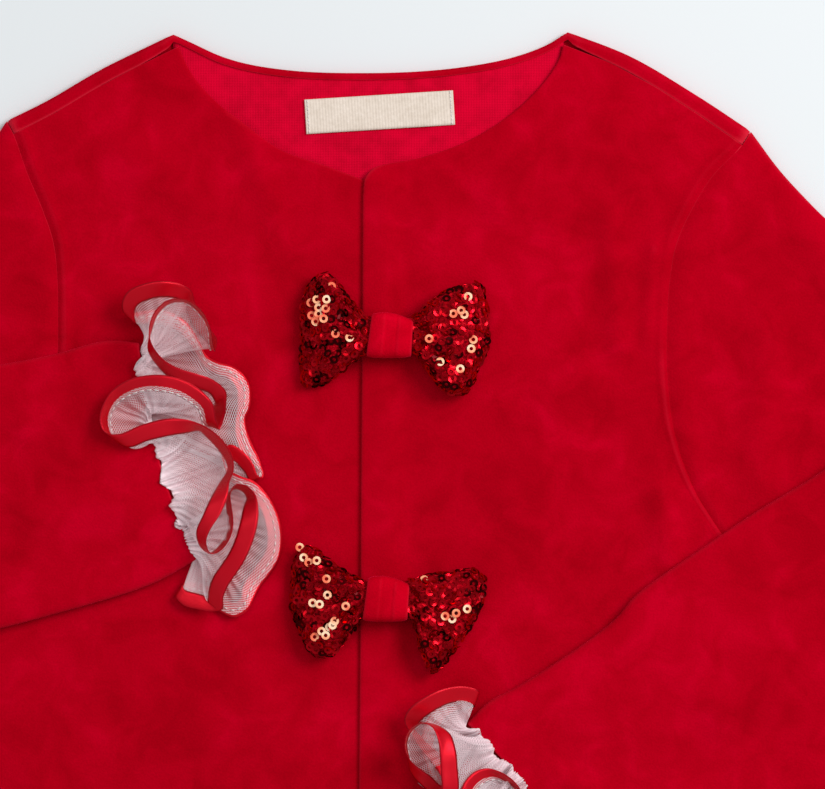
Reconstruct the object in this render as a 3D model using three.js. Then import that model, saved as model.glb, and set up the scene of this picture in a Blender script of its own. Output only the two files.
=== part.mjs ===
// A child's elf jacket in red velour, laid flat on its back with both sleeves folded in over the front.
// Back and fronts lie on each other, each sleeve is a flattened tube that turns over at the elbow, and each
// cuff ends in a gathered tulle ruffle with a satin ribbon along its free edge. Two sequin bows lie on the
// front opening. Units are millimetres. Plan sizes are written from the high point of the shoulders: x runs
// across from the centre front, y runs up the jacket, and z rises from the surface that it lies on.
import * as THREE from "three";

// Cloth thicknesses and the clearance between pieces
const VELOUR = 1.6;
const LINING = 1.0;
const TULLE = 1.0;
const RIBBON = 1.0;
const RIBBON_WIDTH = 6.2;
const GAP = 0.3;
const SEAM_GAP = 0.5;
const RIBBON_GAP = 0.4;
const FOREARM_GAP = 1.6;
const ELBOW_GAP = 3.4;

// Levels, from the surface up
const BACK_TOP = VELOUR;
const LINING_LOW = BACK_TOP + GAP;
const LINING_TOP = LINING_LOW + LINING;
const FRONT_LOW = LINING_TOP + GAP;
const FRONT_TOP = FRONT_LOW + VELOUR;
const FOREARM_LOW = FRONT_TOP + FOREARM_GAP;
const ELBOW_LOW = FRONT_TOP + ELBOW_GAP;

// Body sizes
const HEM_Y = -400;
const HEM_RISE = 5;
const HEM_HALF = 160;
const OVERLAP = 7;
const LIFTED_WIDTH = 8.4;
const LIFT_END = 21;
const EDGE_FADE = 0.12;
const END_FADE_ROWS = 2;
const SEAM_BOW_POWER = 6;
const BACK_BOW_POWER = 2;

// Samples over each piece. The armhole's shares run from the back's shoulder corner down to the underarm,
// and the front starts at the second of them, where the back's rolled shoulder edge ends.
const ARM_SHARES = [0, 0.03, 0.12, 0.24, 0.37, 0.5, 0.63, 0.76, 0.88, 1];
const BODY_ROWS = 8;
const NECK_SHARES = [0, 0.07, 0.2, 0.36, 0.52, 0.68, 0.84, 1];
const FRONT_COLUMNS = 12;
const SHOULDER_COLUMNS = 4;
const NECK_COLUMNS = 8;
const ROLL_ROWS = 5;
const LINING_ROWS = 3;
const LABEL_COLUMNS = 4;
const RUFFLE_STEPS = 92;

// Outlines that differ from one side to the other, each from the centre outwards or from the top down
const SIDES = {
  left: {
    sign: 1,
    neck: [[-5.2, -56], [-4.4, -49.4], [-1.7, -46.2], [2.8, -44.6], [14.5, -42.4], [31.7, -36.2],
      [47.3, -26.2], [57.6, -15.9], [62.4, -8.6]],
    armhole: [[128.7, -33.1], [125.2, -38.6], [115.9, -48], [108.7, -59.3], [102.8, -72.5], [100.4, -87],
      [99.7, -101], [99.7, -115], [102.1, -137], [108.7, -156.6], [115.2, -167.7], [124, -180],
      [134, -190.4], [146, -200]],
    shoulderTop: [[65.6, 1], [86.9, -7.2], [110.4, -21], [128.7, -33.1]],
    opening: [-5.2, -7.4],
  },
  right: {
    sign: -1,
    neck: [[1.8, -55], [-1.4, -51.4], [-7.2, -49.2], [-13, -47], [-19.7, -44.6], [-33.5, -39.7],
      [-47.3, -29.8], [-56.6, -22.4], [-64.8, -12.6]],
    armhole: [[-127.9, -29.4], [-125.2, -35.4], [-121.1, -47.3], [-115.6, -60.4], [-111.8, -72],
      [-110.5, -85.2], [-110.3, -99], [-110.5, -111], [-112.5, -126.3], [-116.6, -143.5],
      [-123.5, -160.8], [-133.9, -178], [-146, -191.8]],
    shoulderTop: [[-70.7, 0.2], [-95, -11.5], [-114, -22.5], [-127.9, -29.4]],
    opening: [-5.2 + OVERLAP, -7.4 + OVERLAP],
  },
};

// The back neckline between the two high points of the shoulders
const BACK_NECK = [[-70.7, 0.2], [-64.5, -2.6], [-54.5, -7.1], [-44.5, -10], [-26.9, -12.4], [-3.8, -13],
  [14.8, -12.4], [31, -10.7], [45.9, -7.8], [58.3, -3.4], [65.6, 1]];
const LINING_DEPTH = 72;
const LINING_TAPER = 0.12;
const NECK_LIP = 2.4;
const NECK_LIP_TOP = 2 * VELOUR + 0.5;
const SHOULDER_LIP = 4.6;
const LIP_BLEND = 8;

// The sleeves: edges of the flattened tube, from the shoulder and the underarm out to the elbow's fold, and
// from the fold to the cuff
const SLEEVES = {
  left: {
    upperOut: [[138.3, -46.2], [147.7, -56.6], [154.2, -63.1], [180, -85], [206, -108]],
    upperIn: [[175, -214.6], [203, -229]],
    foreOut: [[206, -108], [154.2, -149.7], [141.5, -157.7], [129, -165.3], [113.2, -176], [89, -193.2],
      [82.5, -200.8], [71.1, -209.8], [47.6, -225], [38.3, -229.8], [30.7, -237.4]],
    foreIn: [[203, -229], [162.8, -255.6], [111.1, -281.5], [75.2, -298.4]],
    upperCreases: [
      { x: 143.6, y: -112, toX: 138.3, toY: -148, half: 7, height: 2.2 },
      { x: 152, y: -70, toX: 170, toY: -98, half: 9, height: 1.6 },
    ],
    foreCreases: [
      { x: 44, y: -248, toX: 74, toY: -262, half: 5, height: 1.6 },
      { x: 60, y: -282, toX: 104, toY: -262, half: 6, height: 1.4 },
      { x: 120, y: -232, toX: 176, toY: -190, half: 10, height: 2 },
    ],
  },
  right: {
    upperOut: [[-138, -43.8], [-147, -53.8], [-153.5, -60], [-199.4, -95.6], [-244, -130]],
    upperIn: [[-173, -204], [-202, -216]],
    foreOut: [[-244, -130], [-190, -124], [-130.4, -113.9], [-112.1, -110.4], [-93.5, -105.6],
      [-82.1, -106.3]],
    foreIn: [[-202, -216], [-168, -212], [-130.4, -204.6], [-112.1, -199.8], [-89, -193.2],
      [-76, -188.4], [-62.4, -180.8]],
    upperCreases: [
      { x: -146, y: -76, toX: -168, toY: -94, half: 8, height: 1.6 },
    ],
    foreCreases: [
      { x: -76, y: -128, toX: -120, toY: -136, half: 6, height: 1.5 },
      { x: -70, y: -162, toX: -118, toY: -166, half: 7, height: 1.3 },
      { x: -150, y: -150, toX: -204, toY: -172, half: 10, height: 2 },
    ],
  },
};

// Largest folds of the two fronts. They fade out towards the seams and the opening.
const FRONT_CREASES = [
  { x: 104.6, y: -142, toX: 106.6, toY: -168, half: 4.6, height: 1.5 },
  { x: 80, y: -64, toX: 83, toY: -106, half: 5, height: 1.3 },
  { x: 96, y: -74, toX: 94, toY: -104, half: 3.6, height: 1.2 },
  { x: -49, y: -28, toX: -31, toY: -70, half: 5.5, height: 1.2 },
  { x: -88, y: -38, toX: -62, toY: -60, half: 9, height: 1.2 },
  { x: 42, y: -56, toX: 78, toY: -30, half: 8, height: 1.2 },
  { x: 70, y: -120, toX: 46, toY: -158, half: 9, height: 1.3 },
  { x: -40, y: -232, toX: -104, toY: -250, half: 11, height: 1.6 },
  { x: -118, y: -262, toX: -104, toY: -356, half: 11, height: 2.4 },
  { x: 122, y: -322, toX: 106, toY: -372, half: 11, height: 2.4 },
  { x: -46, y: -300, toX: -54, toY: -370, half: 9, height: 2 },
  { x: 46, y: -344, toX: 52, toY: -376, half: 9, height: 2 },
];

// Ribbon edge of each ruffle. at is the place along the gathered ring, from 0 at the cuff's upper corner over
// the upper layer to 1 at its lower corner, and under the lower layer to 2. along is measured down the cuff
// from the upper corner, out away from the sleeve, and up from the surface that the jacket lies on.
const LOWER_LAYER = [
  { at: 1.04, along: 97, out: 6, up: 9.5 },
  { at: 1.1, along: 93.6, out: 16, up: 7.7 },
  { at: 1.2, along: 85, out: 25, up: 8.4 },
  { at: 1.3, along: 76, out: 29, up: 7.6 },
  { at: 1.4, along: 65, out: 29.4, up: 8.4 },
  { at: 1.5, along: 54, out: 28, up: 7.6 },
  { at: 1.6, along: 44, out: 30.4, up: 8.6 },
  { at: 1.7, along: 32, out: 31.6, up: 7.6 },
  { at: 1.8, along: 20, out: 31, up: 8.4 },
  { at: 1.88, along: 8, out: 27, up: 7.7 },
  { at: 1.94, along: -4, out: 22.6, up: 8.6 },
  { at: 1.98, along: -12.6, out: 17, up: 9.6 },
];
const RUFFLES = {
  right: [
    { at: 0.04, along: -17.5, out: 7, up: 12 },
    { at: 0.09, along: -14, out: -2.5, up: 15.5 },
    { at: 0.13, along: -8, out: -4.6, up: 20 },
    { at: 0.17, along: -3.6, out: 0, up: 24 },
    { at: 0.22, along: 1, out: 1, up: 27 },
    { at: 0.26, along: 8.4, out: 5, up: 24.5 },
    { at: 0.28, along: 9.6, out: 14, up: 19 },
    { at: 0.295, along: 10.4, out: 20, up: 15 },
    { at: 0.32, along: 15.4, out: 25.4, up: 13 },
    { at: 0.345, along: 21.6, out: 20.4, up: 14.4 },
    { at: 0.36, along: 23.4, out: 12, up: 17.4 },
    { at: 0.38, along: 20.4, out: 2.6, up: 20.6 },
    { at: 0.405, along: 16.6, out: -7, up: 23.6 },
    { at: 0.43, along: 18, out: -14.4, up: 25.4 },
    { at: 0.46, along: 24.6, out: -17, up: 26 },
    { at: 0.49, along: 31.4, out: -11.6, up: 25 },
    { at: 0.515, along: 34.4, out: -2.6, up: 22.6 },
    { at: 0.54, along: 34.4, out: 7.6, up: 18.4 },
    { at: 0.565, along: 36.4, out: 16, up: 14.6 },
    { at: 0.61, along: 45.6, out: 21, up: 13 },
    { at: 0.64, along: 51.6, out: 15.4, up: 15.6 },
    { at: 0.67, along: 54.4, out: 9, up: 19.4 },
    { at: 0.695, along: 57.4, out: 3, up: 23.6 },
    { at: 0.72, along: 63.4, out: -1.4, up: 26.4 },
    { at: 0.75, along: 71.6, out: -0.6, up: 26.6 },
    { at: 0.775, along: 76, out: 6, up: 24 },
    { at: 0.8, along: 72, out: 11.4, up: 21 },
    { at: 0.825, along: 65.6, out: 15, up: 18.4 },
    { at: 0.85, along: 60.8, out: 19.6, up: 15.2 },
    { at: 0.875, along: 61.6, out: 24.8, up: 12 },
    { at: 0.9, along: 68, out: 26.6, up: 10.8 },
    { at: 0.93, along: 80, out: 20.4, up: 11.6 },
    { at: 0.96, along: 89, out: 12, up: 12 },
    { at: 1, along: 94.6, out: 4, up: 11.6 },
    ...LOWER_LAYER,
  ],
  left: [
    { at: 0.04, along: -17, out: 3, up: 12 },
    { at: 0.09, along: -13, out: -6, up: 15.5 },
    { at: 0.13, along: -7, out: -5, up: 20 },
    { at: 0.17, along: -3.6, out: 2.6, up: 24 },
    { at: 0.22, along: 0, out: 8, up: 26 },
    { at: 0.26, along: 7, out: 11, up: 24 },
    { at: 0.28, along: 9, out: 17, up: 19 },
    { at: 0.295, along: 10.4, out: 20, up: 15 },
    { at: 0.32, along: 15.4, out: 25.4, up: 13 },
    { at: 0.345, along: 22.4, out: 21, up: 14 },
    { at: 0.37, along: 24.4, out: 12, up: 17 },
    { at: 0.4, along: 21, out: 3, up: 21 },
    { at: 0.43, along: 18, out: -3, up: 24.6 },
    { at: 0.47, along: 23, out: -8, up: 25 },
    { at: 0.51, along: 31, out: -2, up: 23.5 },
    { at: 0.53, along: 32, out: 7, up: 19.5 },
    { at: 0.56, along: 34, out: 16, up: 15 },
    { at: 0.6, along: 42, out: 22, up: 12.6 },
    { at: 0.64, along: 51, out: 19, up: 14 },
    { at: 0.67, along: 53.4, out: 10, up: 17.4 },
    { at: 0.7, along: 52, out: 2, up: 22 },
    { at: 0.74, along: 58, out: -5, up: 25 },
    { at: 0.78, along: 66, out: 0, up: 23 },
    { at: 0.8, along: 67.4, out: 7, up: 19.4 },
    { at: 0.83, along: 69.4, out: 14.6, up: 15.6 },
    { at: 0.86, along: 74.4, out: 19.4, up: 13 },
    { at: 0.9, along: 81.6, out: 18.4, up: 12.4 },
    { at: 0.93, along: 87.4, out: 13.4, up: 12.5 },
    { at: 0.96, along: 92, out: 8, up: 13 },
    { at: 1, along: 95, out: 2, up: 12.5 },
    ...LOWER_LAYER,
  ],
};
const CUFF_BOW = 3.6;
const ROOT_POWER = 7;
const FLARE_REACH = 7;
const FLARE_CLIMB = 0.6;
const GATHER_DEPTH = 0.5;
const CORNER_FADE = 0.08;
const RUFFLE_SHARES = [0, 0.34, 0.67, 1];
const RIBBON_START_LEAST = 0.3;
const SHARE_STEP = 0.01;
const NORMAL_SPREAD = 0.012;
const NORMAL_STEP = 0.004;
const LENGTH_STEPS = 40;

// Bows: where each knot's middle is, and the sections of the wings from one end to the other. at is measured
// from the knot along the bow, top and bottom across it, and low and high are the section's levels.
const KNOT = { half: 7.6, across: 16.4, low: FRONT_TOP + VELOUR + 2 * GAP, high: 18.4, wall: 1.6 };
const BOWS = {
  bow_upper: {
    x: 4.4,
    y: -103.6,
    sections: [
      { at: -32.4, top: 15, bottom: -9, low: 6.2, high: 8.6 },
      { at: -30.6, top: 19.4, bottom: -14, low: 5.6, high: 10.6 },
      { at: -26.8, top: 20.6, bottom: -16.8, low: 5.4, high: 13.2 },
      { at: -20, top: 16.4, bottom: -15.4, low: 5.5, high: 15.6 },
      { at: -13, top: 10.4, bottom: -9, low: 7.2, high: 16.4 },
      { at: -8.4, top: 6, bottom: -5.6, low: 9.1, high: 16.3 },
      { at: 0, top: 5.6, bottom: -5.4, low: 9.3, high: 16.3 },
      { at: 8.4, top: 6, bottom: -5.8, low: 9.1, high: 16.3 },
      { at: 13, top: 10.6, bottom: -12, low: 7.4, high: 16.4 },
      { at: 20, top: 16, bottom: -19.4, low: 5.6, high: 15.8 },
      { at: 25.6, top: 17.6, bottom: -18.6, low: 5.4, high: 14 },
      { at: 30.4, top: 17.4, bottom: -12.6, low: 5.6, high: 10.8 },
      { at: 33, top: 11, bottom: -5.6, low: 6.2, high: 8.4 },
    ],
  },
  bow_lower: {
    x: 3.1,
    y: -194.2,
    sections: [
      { at: -34, top: 11, bottom: -3.4, low: 6.2, high: 8.4 },
      { at: -31.6, top: 17.4, bottom: -11, low: 5.6, high: 10.8 },
      { at: -27, top: 17, bottom: -17.6, low: 5.4, high: 13.4 },
      { at: -20, top: 12.6, bottom: -20, low: 5.5, high: 15.6 },
      { at: -13, top: 8.4, bottom: -14, low: 7.2, high: 16.4 },
      { at: -8.4, top: 6, bottom: -6, low: 9.1, high: 16.3 },
      { at: 0, top: 5.6, bottom: -5.6, low: 9.3, high: 16.3 },
      { at: 8.4, top: 6, bottom: -6.2, low: 9.1, high: 16.3 },
      { at: 12.6, top: 7.2, bottom: -18, low: 7.4, high: 16.4 },
      { at: 17, top: 8.2, bottom: -24.6, low: 5.6, high: 15.6 },
      { at: 23, top: 9.2, bottom: -18.6, low: 5.4, high: 14 },
      { at: 30, top: 9.6, bottom: -8.8, low: 5.6, high: 11.4 },
      { at: 34.4, top: 6.6, bottom: -0.4, low: 6.2, high: 8.6 },
    ],
  },
};
const PLEATS = 3;
const PLEAT_DEPTH = 0.7;
const PLEAT_START = [8, 16];
const PLEAT_END = [34, 24];
const BOW_SIDES = 18;
const BOW_CORNER_POWERS = [0.75, 0.8];
const KNOT_SIDES = 16;
const KNOT_CORNER_POWER = 0.5;
const KNOT_TAPER = 0.06;
const KNOT_RINGS = [-1, -0.4, 0.4, 1];

// Label inside the back neck
const LABEL = { x: 0.6, y: -26.6, width: 51.4, height: 11.9, thick: 1.0, turn: 0.063 };

// Finish of each material
const FINISHES = {
  velour: { color: 0xba0418, roughness: 0.95, metalness: 0 },
  lining: { color: 0xc80a2e, roughness: 0.85, metalness: 0 },
  label: { color: 0xe6dccb, roughness: 0.75, metalness: 0 },
  tulle: { color: 0xe6d6d8, roughness: 0.7, metalness: 0 },
  ribbon: { color: 0xd40a14, roughness: 0.35, metalness: 0 },
  sequin: { color: 0x8c0712, roughness: 0.3, metalness: 0.7 },
};

// Runs smoothly from 0 at a to 1 at b, whichever of them is larger.
const smooth = (a, b, x) => {
  const share = THREE.MathUtils.clamp((x - a) / (b - a), 0, 1);
  return share * share * (3 - 2 * share);
};
const lerp = THREE.MathUtils.lerp;
const mix = (p, q, t) => p.map((value, i) => lerp(value, q[i], t));
const add = (p, q, scale = 1) => p.map((value, i) => value + scale * q[i]);
const dot = (p, q) => p.reduce((sum, value, i) => sum + value * q[i], 0);
const unit = (p) => p.map((value) => value / Math.hypot(...p));
const range = (count, make) => Array.from({ length: count }, (_, i) => make(i));

// A smooth curve through plan points, sampled at even shares of its length.
function plan(points) {
  const curve = new THREE.CatmullRomCurve3(points.map(([x, y]) => new THREE.Vector3(x, y, 0)));
  return (share) => {
    const p = curve.getPointAt(THREE.MathUtils.clamp(share, 0, 1));
    return [p.x, p.y];
  };
}

// Straight runs through plan points, by share of the length.
function straight(points) {
  const path = new THREE.CurvePath();
  points.slice(1).forEach(([x, y], i) => {
    path.add(new THREE.LineCurve(new THREE.Vector2(...points[i]), new THREE.Vector2(x, y)));
  });
  return (share) => {
    const p = path.getPointAt(THREE.MathUtils.clamp(share, 0, 1));
    return [p.x, p.y];
  };
}

// Height of a set of soft ridges at a plan point. Each ridge fades out over its half width and at both ends.
function creaseHeight(creases, x, y) {
  return creases.reduce((sum, c) => {
    const run = [c.toX - c.x, c.toY - c.y];
    const share = THREE.MathUtils.clamp(dot([x - c.x, y - c.y], run) / dot(run, run), 0, 1);
    const away = Math.hypot(x - c.x - share * run[0], y - c.y - share * run[1]);
    return sum + c.height * Math.exp(-((away / c.half) ** 2));
  }, 0);
}

// A closed wall between two matching grids of points. closed joins the last column to the first.
function wall(outer, inner, closed = false) {
  const rows = outer.length;
  const columns = outer[0].length;
  const points = [...outer.flat(), ...inner.flat()];
  const skin = rows * columns;
  const index = [];
  const quad = (a, b, c, d) => index.push(a, b, c, a, c, d);
  const spans = closed ? columns : columns - 1;
  for (let i = 0; i < rows - 1; i += 1) {
    for (let j = 0; j < spans; j += 1) {
      const next = (j + 1) % columns;
      const [a, b, c, d] = [i * columns + j, i * columns + next, (i + 1) * columns + next,
        (i + 1) * columns + j];
      quad(a, b, c, d);
      quad(skin + a, skin + d, skin + c, skin + b);
    }
  }
  const last = (rows - 1) * columns;
  for (let j = 0; j < spans; j += 1) {
    const next = (j + 1) % columns;
    quad(next, j, skin + j, skin + next);
    quad(last + j, last + next, skin + last + next, skin + last + j);
  }
  if (!closed) {
    for (let i = 0; i < rows - 1; i += 1) {
      const [a, d] = [i * columns, (i + 1) * columns];
      quad(a, d, skin + d, skin + a);
      quad(d + columns - 1, a + columns - 1, skin + a + columns - 1, skin + d + columns - 1);
    }
  }
  return facingOut(points, index);
}

// A closed solid lofted through rings, with a fan over each end.
function loft(rings) {
  const count = rings[0].length;
  const middle = (ring) => ring.reduce((sum, p) => add(sum, p, 1 / count), [0, 0, 0]);
  const points = [...rings.flat(), middle(rings[0]), middle(rings[rings.length - 1])];
  const [first, last] = [points.length - 2, points.length - 1];
  const index = [];
  rings.slice(1).forEach((_, i) => {
    for (let j = 0; j < count; j += 1) {
      const next = (j + 1) % count;
      const [a, b] = [i * count + j, i * count + next];
      index.push(a, b, b + count, a, b + count, a + count);
    }
  });
  for (let j = 0; j < count; j += 1) {
    const next = (j + 1) % count;
    const end = (rings.length - 1) * count;
    index.push(first, next, j, last, end + j, end + next);
  }
  return facingOut(points, index);
}

// A geometry whose faces point outwards, whichever way its grid ran.
function facingOut(points, index) {
  const volume = range(index.length / 3, (i) => {
    const [a, b, c] = [0, 1, 2].map((k) => new THREE.Vector3(...points[index[3 * i + k]]));
    return a.dot(b.cross(c));
  }).reduce((sum, v) => sum + v, 0);
  const faces = volume < 0 ? index.map((_, i) => index[i - (i % 3) + [0, 2, 1][i % 3]]) : index;
  const geometry = new THREE.BufferGeometry();
  geometry.setAttribute("position", new THREE.Float32BufferAttribute(points.flat(), 3));
  geometry.setIndex(faces);
  geometry.computeVertexNormals();
  return geometry;
}

function piece(name, geometry, finish) {
  const mesh = new THREE.Mesh(geometry, new THREE.MeshStandardMaterial(FINISHES[finish]));
  mesh.name = name;
  return mesh;
}

// The outer edge of the body, from the hem up to the given shares of the armhole, row by row.
function sideRows(side, shares) {
  const armhole = plan(side.armhole);
  const hem = [side.sign * HEM_HALF, HEM_Y + HEM_RISE];
  return [
    ...range(BODY_ROWS, (i) => mix(hem, armhole(1), i / BODY_ROWS)),
    ...[...shares].reverse().map(armhole),
  ];
}

// Plan points moved in from an edge that is drawn from left to right, along its normal.
function insetLine(points, depth) {
  return points.map((point, i) => {
    const run = unit(add(points[Math.min(i + 1, points.length - 1)], points[Math.max(i - 1, 0)], -1));
    return add(point, [run[1], -run[0]], depth);
  });
}

// The high edge of a shoulder, from the neck outwards.
function shoulderEdge(side) {
  const edge = plan(side.shoulderTop);
  return range(SHOULDER_COLUMNS + 1, (j) => edge(j / SHOULDER_COLUMNS));
}

// The shoulder seam of a front, just inside the back's rolled edge, from the neck outwards.
function shoulderSeam(side) {
  const edge = shoulderEdge(side).map(([x, y]) => [side.sign * x, y]);
  return insetLine(edge, SHOULDER_LIP + SEAM_GAP).map(([x, y]) => [side.sign * x, y]);
}

// The centre edge of a front: up the opening to the neck, then round the neckline to the shoulder.
function centreRows(side, rows) {
  const corner = side.neck[0];
  const openingRows = rows - NECK_SHARES.length;
  const neck = plan([...side.neck, shoulderSeam(side)[0]]);
  return [
    ...range(openingRows, (i) => {
      const share = i / openingRows;
      return [lerp(side.opening[1], side.opening[0], share), lerp(HEM_Y, corner[1], share)];
    }),
    ...NECK_SHARES.map(neck),
  ];
}

// The left front lies over the right one, so its first two columns are lifted, up to the neck's corner.
function front(side) {
  const outerEdge = sideRows(side, ARM_SHARES.slice(1));
  const rows = outerEdge.length;
  const innerEdge = centreRows(side, rows);
  const cornerRow = rows - NECK_SHARES.length + 1;
  const seam = straight(shoulderSeam(side));
  const acrossAt = (i, j) => {
    const width = Math.hypot(...add(outerEdge[i], innerEdge[i], -1));
    const plain = lerp(LIFT_END / width, 1, (j - 2) / (FRONT_COLUMNS - 2));
    return [0, LIFTED_WIDTH / width][j] ?? plain;
  };
  const grid = (level) => range(rows, (i) => range(FRONT_COLUMNS + 1, (j) => {
    const across = acrossAt(i, j);
    const bow = add(seam(across), mix(seam(0), seam(1), across), -1);
    const bowShare = (i / (rows - 1)) ** SEAM_BOW_POWER;
    const [x, y] = add(mix(innerEdge[i], outerEdge[i], across), bow, bowShare);
    const sides = smooth(LIFT_END, 2 * LIFT_END, Math.abs(x)) * smooth(0, EDGE_FADE, 1 - across);
    const ends = smooth(0, END_FADE_ROWS, rows - 1 - i) * smooth(0, END_FADE_ROWS, i);
    const fold = sides * ends * creaseHeight(FRONT_CREASES, x, y);
    const lift = side.sign > 0 && j < 2 && i <= cornerRow ? VELOUR + GAP : 0;
    return [x, y, FRONT_LOW + level + lift + fold];
  }));
  return wall(grid(VELOUR), grid(0));
}

// The top edge of the back from left to right: shoulder, neck and shoulder.
function backRim() {
  const neck = plan(BACK_NECK);
  return [
    ...shoulderEdge(SIDES.right).reverse(),
    ...range(NECK_COLUMNS - 1, (j) => neck((j + 1) / NECK_COLUMNS)),
    ...shoulderEdge(SIDES.left),
  ];
}

// The back lies flat. Its shoulder edges roll over to the seams, and its neck edge turns in as a lip.
function back() {
  const rim = backRim();
  const [leftEnd, rightEnd] = [rim[0], rim[rim.length - 1]];
  const leftEdge = sideRows(SIDES.right, ARM_SHARES.slice(1));
  const rightEdge = sideRows(SIDES.left, ARM_SHARES.slice(1));
  const flat = leftEdge.map((left, i) => rim.map((p) => {
    const across = (p[0] - leftEnd[0]) / (rightEnd[0] - leftEnd[0]);
    const crown = add(p, mix(leftEnd, rightEnd, across), -1);
    const share = Math.max(0, (i - BODY_ROWS) / (leftEdge.length - BODY_ROWS)) ** BACK_BOW_POWER;
    return add(mix(left, rightEdge[i], across), crown, share);
  }));
  // How much of the shoulder's roll each place on the rim has, against the neck's small lip
  const [neckLeft, neckRight] = [BACK_NECK[0][0], BACK_NECK[BACK_NECK.length - 1][0]];
  const rollShare = ([x]) => Math.max(
    smooth(-neckLeft, LIP_BLEND - neckLeft, -x),
    smooth(neckRight, LIP_BLEND + neckRight, x),
  );
  const roll = (inset) => range(ROLL_ROWS + 1, (k) => rim.map((p, j) => {
    const angle = (Math.PI * k) / ROLL_ROWS;
    const height = lerp(NECK_LIP_TOP, FRONT_TOP, rollShare(p));
    const depth = lerp(NECK_LIP, SHOULDER_LIP, rollShare(p));
    const radius = height / 2 - inset;
    const inwards = k === ROLL_ROWS ? depth : height / 2 - radius * Math.sin(angle);
    return [...insetLine(rim, inwards)[j], height / 2 - radius * Math.cos(angle)];
  }));
  const layer = (level) => flat.map((row) => row.map(([x, y]) => [x, y, level]));
  return wall([...layer(0), ...roll(0)], [...layer(BACK_TOP), ...roll(VELOUR)]);
}

// The lining shows inside the back neck. It starts under the lip and ends behind the fronts.
function lining() {
  const rim = backRim().slice(SHOULDER_COLUMNS + 1, SHOULDER_COLUMNS + NECK_COLUMNS);
  const top = insetLine(rim, NECK_LIP + 2 * GAP);
  const grid = (level) => range(LINING_ROWS + 1, (i) => top.map(([x, y]) => {
    const share = i / LINING_ROWS;
    return [x * (1 - LINING_TAPER * share), lerp(y, -LINING_DEPTH, share), level];
  }));
  return wall(grid(LINING_TOP), grid(LINING_LOW));
}

function label() {
  const shape = new THREE.BoxGeometry(LABEL.width, LABEL.height, LABEL.thick, LABEL_COLUMNS, 1, 1);
  shape.rotateZ(LABEL.turn);
  return shape.translate(LABEL.x, LABEL.y, LINING_TOP + GAP + LABEL.thick / 2);
}

// Places across the flattened sleeve, close together at its two rounded edges.
const ACROSS = [0, 0.01, 0.03, 0.12, 0.24, 0.37, 0.5, 0.63, 0.76, 0.88, 0.97, 0.99, 1];
const EDGE_POWER = 26;
const FLAT_EDGE_POWER = 4;
const ARMHOLE_STEP = 0.01;
const ARMHOLE_BOW_POWER = 2;
const CUFF_BOW_POWER = 6;
const RELIEF_START = 0.25;
const RELIEF_END = 0.12;
const ELBOW_SLOPE = 0.4;
const [UPPER_STATIONS, FOLD_STATIONS, FORE_STATIONS] = [7, 6, 11];
const SLEEVE_DEEP = FRONT_TOP;

// One ring round the flattened sleeve at a station: the two layers' points, on a skin inset by depth.
function sleeveRing(station, inset) {
  const width = Math.hypot(...add(station.at(1), station.at(0), -1));
  const layer = (share, face) => {
    const q = inset / width + share * (1 - (2 * inset) / width);
    const full = Math.sqrt(Math.max(0, 1 - Math.abs(2 * share - 1) ** EDGE_POWER));
    const [x, y] = station.at(q);
    const relief = face === station.seen ? full ** FLAT_EDGE_POWER * station.relief : 0;
    const fold = relief * creaseHeight(station.creases, x, y);
    const level = face * (SLEEVE_DEEP / 2 - inset) * full;
    return station.place([x, y], level, fold);
  };
  return [
    ...ACROSS.map((share) => layer(share, -1)),
    ...ACROSS.slice(1, -1).reverse().map((share) => layer(share, 1)),
  ];
}

// The armhole, moved out by the seam's clearance.
function armholeSeam(side) {
  const armhole = plan(side.armhole);
  return (share) => {
    const run = unit(add(armhole(share + ARMHOLE_STEP), armhole(share - ARMHOLE_STEP), -1));
    return add(armhole(share), [-side.sign * run[1], side.sign * run[0]], SEAM_GAP);
  };
}

// The cuff's line: its upper corner, the direction along it and the direction out of the sleeve.
function cuffFrame(side, sleeve) {
  const [top, bottom] = [sleeve.foreOut, sleeve.foreIn].map((edge) => edge[edge.length - 1]);
  const along = unit(add(bottom, top, -1));
  const away = [side.sign * along[1], -side.sign * along[0]];
  return { top, along, away, width: Math.hypot(...add(bottom, top, -1)) };
}

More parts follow.
